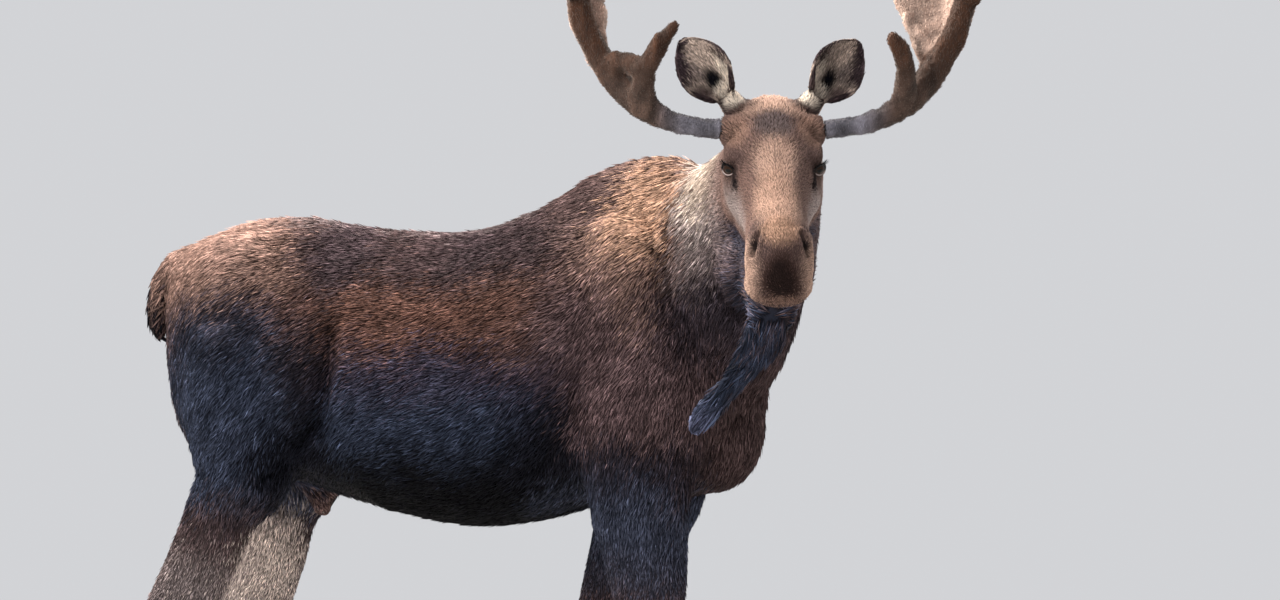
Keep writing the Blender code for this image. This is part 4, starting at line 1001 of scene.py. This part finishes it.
# From the opening outwards: how far off its middle, as a share, and how far off the eyeball
LID_RINGS = (
    (0.90, -0.001), (0.92, 0.0008), (0.97, 0.0024), (1.05, 0.0034),
    (1.14, 0.0036), (1.28, 0.003), (1.40, 0.0008), (1.38, -0.002),
)
GLINT_RINGS = ((1, 0.8), (2, 1.0), (3, 0.1))  # which rings carry the painted glint of the wet rim below, and how much
# the lid's dark skin, and the pale of the painted glint on its wet lower rim
LID_SKIN, LOWER_RIM_GLINT = (0.008, 0.006, 0.006), (0.36, 0.28, 0.26)
IRIS, IRIS_RIM, PUPIL = (0.026, 0.012, 0.007), (0.007, 0.004, 0.003), (0.002, 0.002, 0.002)
EYE_WHITE = (0.030, 0.019, 0.016)
PUPIL_WIDE, PUPIL_HIGH = 0.42, 0.24  # half of it, as shares of the eye's radius
GAZE = math.radians(64)  # the iris faces this far ahead of sideways
LASHES, LASH_THICK, LASH_LONG = 26, 0.0008, (0.013, 0.021)
LASH_SPAN = (math.radians(15), math.radians(170))  # round the opening, over the upper lid


def off_the_opening(share, angle):
    """The way out from the eye's middle, in the folded head's frame."""
    off = share * opening_edge(angle)
    ahead, up, out = np.sin(off) * np.cos(angle), np.sin(off) * np.sin(angle), np.cos(off)
    turn = math.cos(EYE_TURN), math.sin(EYE_TURN)
    return np.stack((ahead * turn[0] + out * turn[1], out * turn[0] - ahead * turn[1], up), axis=-1)


def to_eye(local, side, sign):
    """Points round an eye's middle, in the folded head's frame, brought to that eye."""
    return local * (1, sign, 1) @ head_axes + eye_at[side]


def of_lid_skin(name, points, faces, tones):
    made = to_scene(name, mesh_of(name, points, faces))
    colour_layer(made.data, "coat", tones)
    dressed(made, lid_finish)
    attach(made, "root")


eye_finish, tree = surface("eye", Roughness=0.04, Specular_IOR_Level=0.14)
feed(tree, Base_Color=own_colour(tree, "iris"))
lid_finish, tree = surface("lid", Roughness=0.4, Specular_IOR_Level=0.08)
feed(tree, Base_Color=own_colour(tree))

for side, sign in SIDES:
    ball = bmesh.new()
    bmesh.ops.create_icosphere(ball, subdivisions=5, radius=EYE_RADIUS)
    mesh = mesh_from(f"eyeball_{side}", ball)
    local = vertices_of(mesh)[0]
    ahead = local @ (math.cos(GAZE), -math.sin(GAZE), 0) / EYE_RADIUS
    off = np.arccos(np.clip(local @ (math.sin(GAZE), math.cos(GAZE), 0) / EYE_RADIUS, -1, 1))
    # 0 in the pupil's middle and 1 at its edge, with none on the back of the eye
    oval = np.hypot(ahead / PUPIL_WIDE, local[:, 2] / EYE_RADIUS / PUPIL_HIGH) + (off > 1.5) * 9
    colour_layer(mesh, "iris", painted(len(local), EYE_WHITE, (
        (IRIS_RIM, ramp(off, 0.96, -0.08)), (IRIS, ramp(off, 0.84, -0.16)), (PUPIL, ramp(oval, 1, -0.2)),
    )))
    place_vertices(mesh, to_eye(local, side, sign))
    if sign < 0:
        mesh.flip_normals()
    made = to_scene(f"eyeball_{side}", mesh)
    dressed(made, eye_finish)
    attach(made, "root")
    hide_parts(f"eye_{side}")

    angles = np.linspace(0, 2 * math.pi, LID_SEGMENTS, endpoint=False)
    rings = np.stack([off_the_opening(share, angles) * (EYE_RADIUS + off) for share, off in LID_RINGS])
    count = len(LID_RINGS)
    ring, step = np.indices((count, LID_SEGMENTS))
    after, following = (ring + 1) % count, (step + 1) % LID_SEGMENTS
    corners = (ring, step), (ring, following), (after, following), (after, step)
    faces = np.stack([a * LID_SEGMENTS + b for a, b in corners], axis=-1).reshape(-1, 4)
    if sign > 0:
        faces = faces[:, ::-1]
    tones = np.tile(np.array(LID_SKIN), (count, LID_SEGMENTS, 1))
    below = ramp(-np.sin(angles), 0.15, 0.4)[:, None]
    # painted glint: the lower rings made pale where the rim is wet
    for number, share in GLINT_RINGS:
        tones[number] += (np.array(LOWER_RIM_GLINT) - tones[number]) * below * share
    ring_points = to_eye(rings.reshape(-1, 3), side, sign)
    of_lid_skin(f"lid_{side}", ring_points, faces, tones.reshape(-1, 3))

    draw = np.random.default_rng(80)
    spread = np.sort(draw.uniform(*LASH_SPAN, LASHES))
    root = off_the_opening(1.0, spread) * (EYE_RADIUS + LID_THICK)
    way = unit(off_the_opening(1.25, spread) + off_the_opening(1.9, spread) * 1.2 - (0.2, 0, 0.15))
    long = draw.uniform(*LASH_LONG, LASHES)[:, None]
    across = unit(np.cross(way, (0, 0, 1)))
    over = np.cross(across, way)
    tip = root + way * long + over * long * 0.25
    near = root + way * long * 0.3
    half = across * LASH_THICK
    points = np.stack((root, near - half, near + half + over * LASH_THICK, tip), 1).reshape(-1, 3)
    faces = (TUFT_FACES[None] + 4 * np.arange(LASHES)[:, None, None]).reshape(-1, 3)
    if sign < 0:
        faces = faces[:, ::-1]
    of_lid_skin(f"lashes_{side}", to_eye(points, side, sign), faces, np.array(BLACK))

# ------------ the antlers
# Bone still growing under velvet: a warm, short-haired skin over beam, brow tine and palm.
# It is dark and grey on the beam, browner on the tines and pale and pinkish on the palm.

ANTLER_GRAIN = 0.0036
ANTLER_TRIANGLES = 62000
LUMP, SHRUNK = 0.0050, 0.0030  # how far its lumps stand out, and how far all of it is drawn in
VELVET = (0.0075, 0.0015, 0.0024, 0.0050)  # as the coat's: length, width, height, distance apart
VELVET_STEEL = (0.112, 0.106, 0.126)
VELVET_DARK = (0.060, 0.036, 0.027)
VELVET_RUST = (0.044, 0.018, 0.009)
VELVET_PALE = (0.385, 0.272, 0.220)
# Down the brow tine and across the fork's web: ahead, outwards, up from the eyes, and half thickness
TINE_FLESH = {
    "left": ((-0.035, 0.317, 0.18, 0.029), (0, 0.317, 0.23, 0.027), (0.03, 0.301, 0.28, 0.024),
             (0.042, 0.281, 0.311, 0.016)),
    "right": ((-0.085, 0.385, 0.25, 0.03), (-0.05, 0.345, 0.25, 0.028), (-0.02, 0.318, 0.236, 0.028),
              (0, 0.298, 0.247, 0.028), (0.03, 0.266, 0.302, 0.024), (0.044, 0.234, 0.336, 0.015)),
}


def furrows(points):
    """Noise in long grooves that run up the antlers."""
    return noise_at(points * (42, 42, 10))


def velvet_colour_at(points):
    """Steel grey by the head, dark brown round the fork and rust on the tines, pale on the palm;
    painted shade darkens it down in its furrows and on the palm's front edge, and painted light lifts
    the ridges between the furrows."""
    level = points - head_middle
    up, out = level[:, 2], np.abs(level @ head_left)
    ahead = level @ level_ahead
    past_rim = ahead + 0.085 + (up - 0.205) * 0.22
    colours = painted(len(points), VELVET_STEEL, (
        (VELVET_DARK, ramp(out, 0.20, 0.10)),
        (VELVET_RUST, ramp(up, 0.16, 0.14)),
        # pale on the palm behind its front edge, which stays dark as painted shade
        (VELVET_PALE, ramp(up, 0.14, 0.16) * ramp(past_rim, 0.004, -0.022) * 0.9),
    ))
    # painted shade in the furrows and painted light on the ridges, from the same noise that shapes them
    return colours * np.exp(furrows(points) * 0.7)[:, None]


def velvet_hair_colour(roots, draw):
    tone = np.exp(draw.normal(0, 0.3, len(roots)))[:, None]
    return velvet_colour_at(roots) * tone * 1.2 + 0.012


velvet, tree = surface(
    "velvet", Roughness=0.8, Specular_IOR_Level=0.2, Sheen_Weight=0.2, Sheen_Roughness=0.35,
    Sheen_Tint=(1.0, 0.9, 0.8, 1),
)
place = added(tree, "ShaderNodeTexCoord", output=3)
nap, mottle = speckle(tree, place, 320.0, 4.0), speckle(tree, place, 45.0, 5.0)
tone = coat_times(tree, nap * 0.7 + mottle * 0.9 + 0.15)
feed(tree, Base_Color=tone, Normal=relief(tree, nap * 0.4 + mottle, 0.5, 0.003))

for number, (side, sign) in enumerate(SIDES):
    parts = [f"antler_{side}_{part}" for part in ("beam", "brow_tine", "palm")]
    rows = np.array(TINE_FLESH[side])
    fillers = []
    for start, end in zip(rows, rows[1:]):
        for share in (0, 0.25, 0.5, 0.75):
            ahead, outwards, up, radius = start + (end - start) * share
            fillers.append((Vector(off_head(ahead, outwards * sign, up)), radius))
    antler = grown_together(f"velvet_{side}", parts, ANTLER_GRAIN, OVERLAP, fillers)
    modify(antler, "SMOOTH", iterations=14)
    applied(antler)
    points, outward = vertices_of(antler.data)
    lumps = furrows(points) + noise_at(points * 90) * 0.35
    place_vertices(antler.data, points + outward * (lumps * LUMP - SHRUNK)[:, None])
    modify(antler, "TRIANGULATE")
    applied(antler)
    modify(antler, "DECIMATE", ratio=ANTLER_TRIANGLES / len(antler.data.polygons))
    applied(antler)
    colour_layer(antler.data, "coat", velvet_colour_at(vertices_of(antler.data)[0]))
    dressed(antler, velvet)
    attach(antler, "root")
    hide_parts(*parts)

    ground = Ground(antler)
    every = np.arange(len(ground.faces))
    sizes, upwards = (np.tile(row, (len(every), 1)) for row in (VELVET, (0.0, 0.0, 1.0)))
    name = f"velvet_hair_{side}"
    tufts(name, ground, every, sizes, upwards, velvet_hair_colour, velvet, 60 + number)

# ------------ the hooves
# Two toes and two dewclaws to a foot, of dull dark horn grown in rings.

HOOF_GRAIN = 0.0026
RING_STEP = 0.0085
RING_DEPTH = 0.0005
HORN_DARK, HORN_PALE = (0.014, 0.012, 0.011), (0.085, 0.070, 0.058)

horn, tree = surface("horn", Roughness=0.5)
place = added(tree, "ShaderNodeTexCoord", output=3)
grain = added(tree, "ShaderNodeMapping", None, {"Vector": place, "Scale": (60, 60, 400)})
rings, patch = speckle(tree, grain, 1.0, 3.0), speckle(tree, place, 40.0, 4.0)
tone = blended(tree, rings * 0.6 + patch * 0.4, HORN_DARK, HORN_PALE)
feed(tree, Base_Color=tone, Normal=relief(tree, rings, 0.4, 0.001))

for leg in LEGS:
    parts = [f"{leg}_{kind}_{place}" for kind in ("hoof", "dewclaw") for place in ("outer", "inner")]
    foot = grown_together(f"hooves_{leg}", parts, HOOF_GRAIN, 0.0)
    modify(foot, "SMOOTH", iterations=5)
    applied(foot)
    points, outward = vertices_of(foot.data)
    ring = np.sin(points[:, 2] / RING_STEP * 2 * math.pi) * RING_DEPTH
    points += outward * (ring * ramp(points[:, 2], 0, 0.02))[:, None]
    points[:, 2] = np.maximum(points[:, 2], 0.0)
    place_vertices(foot.data, points)
    dressed(foot, horn)
    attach(foot, "root")
    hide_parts(*parts)

# ------------ floor, light and camera
# A plain pale floor in an even, pale room, a broad soft light from above and behind on the side
# of the rump, a weaker one from before it, and a small one from behind on the head's side.

FLOOR_RADIUS = 20.0
VIEW_TURN = math.radians(20)  # the camera looks along +Y turned this far to the left
VIEW_DISTANCE = 22.0
VIEW_WIDTH = 3.1565  # metres across the picture at the animal
LIT_MIDDLE = (0, 0, 1.3)  # what the lights are aimed at
AIM = (-0.0247, 0.17, 1.443)  # along the picture, away from the camera, up; from the withers

across_view = np.array((math.cos(VIEW_TURN), math.sin(VIEW_TURN), 0.0))
into_view = np.array((-math.sin(VIEW_TURN), math.cos(VIEW_TURN), 0.0))
aim = withers + across_view * AIM[0] + into_view * AIM[1] + np.array((0, 0, AIM[2]))

disc = bmesh.new()
bmesh.ops.create_circle(disc, segments=96, radius=FLOOR_RADIUS, cap_ends=True)
floor = to_scene("floor", mesh_from("floor", disc))
floor_finish = surface("floor", Roughness=0.9, Base_Color=(0.50, 0.495, 0.485, 1))[0]
floor.data.materials.append(floor_finish)

world = bpy.data.worlds.new("room")
bpy.context.scene.world = world
world.use_nodes = True
background = world.node_tree.nodes["Background"].inputs
background["Color"].default_value = (0.86, 0.87, 0.90, 1)
background["Strength"].default_value = 0.75

# Square lights aimed at the animal: way to it, distance, size, power and colour
up = np.array((0, 0, 1.0))
for name, towards, distance, size, power, colour in (
    ("sky", -across_view * 0.75 + into_view * 0.35 + up * 1.1, 6, 3.0, 1250, (1.0, 0.95, 0.88)),
    ("front", -across_view * 0.75 - into_view + up * 0.7, 8, 4.0, 560, (1.0, 0.98, 0.96)),
    ("rim", across_view * 0.8 + into_view * 0.8 + up * 0.9, 6, 2.0, 260, (1.0, 0.97, 0.93)),
):
    light = bpy.data.lights.new(name, "AREA")
    light.size, light.energy, light.color = size, power, colour
    lamp = to_scene(name, light)
    towards = Vector(unit(towards))
    lamp.location = Vector(LIT_MIDDLE) + towards * distance
    lamp.rotation_euler = towards.to_track_quat("Z", "Y").to_euler()

lens = bpy.data.cameras.new("camera")
lens.sensor_width = 36
lens.lens = lens.sensor_width * VIEW_DISTANCE / VIEW_WIDTH
lens.clip_end = 200
camera = to_scene("camera", lens)
camera.location = Vector(aim - into_view * VIEW_DISTANCE)
camera.rotation_euler = (math.pi / 2, 0, VIEW_TURN)
bpy.context.scene.camera = camera
bpy.context.scene.view_settings.view_transform = "Standard"
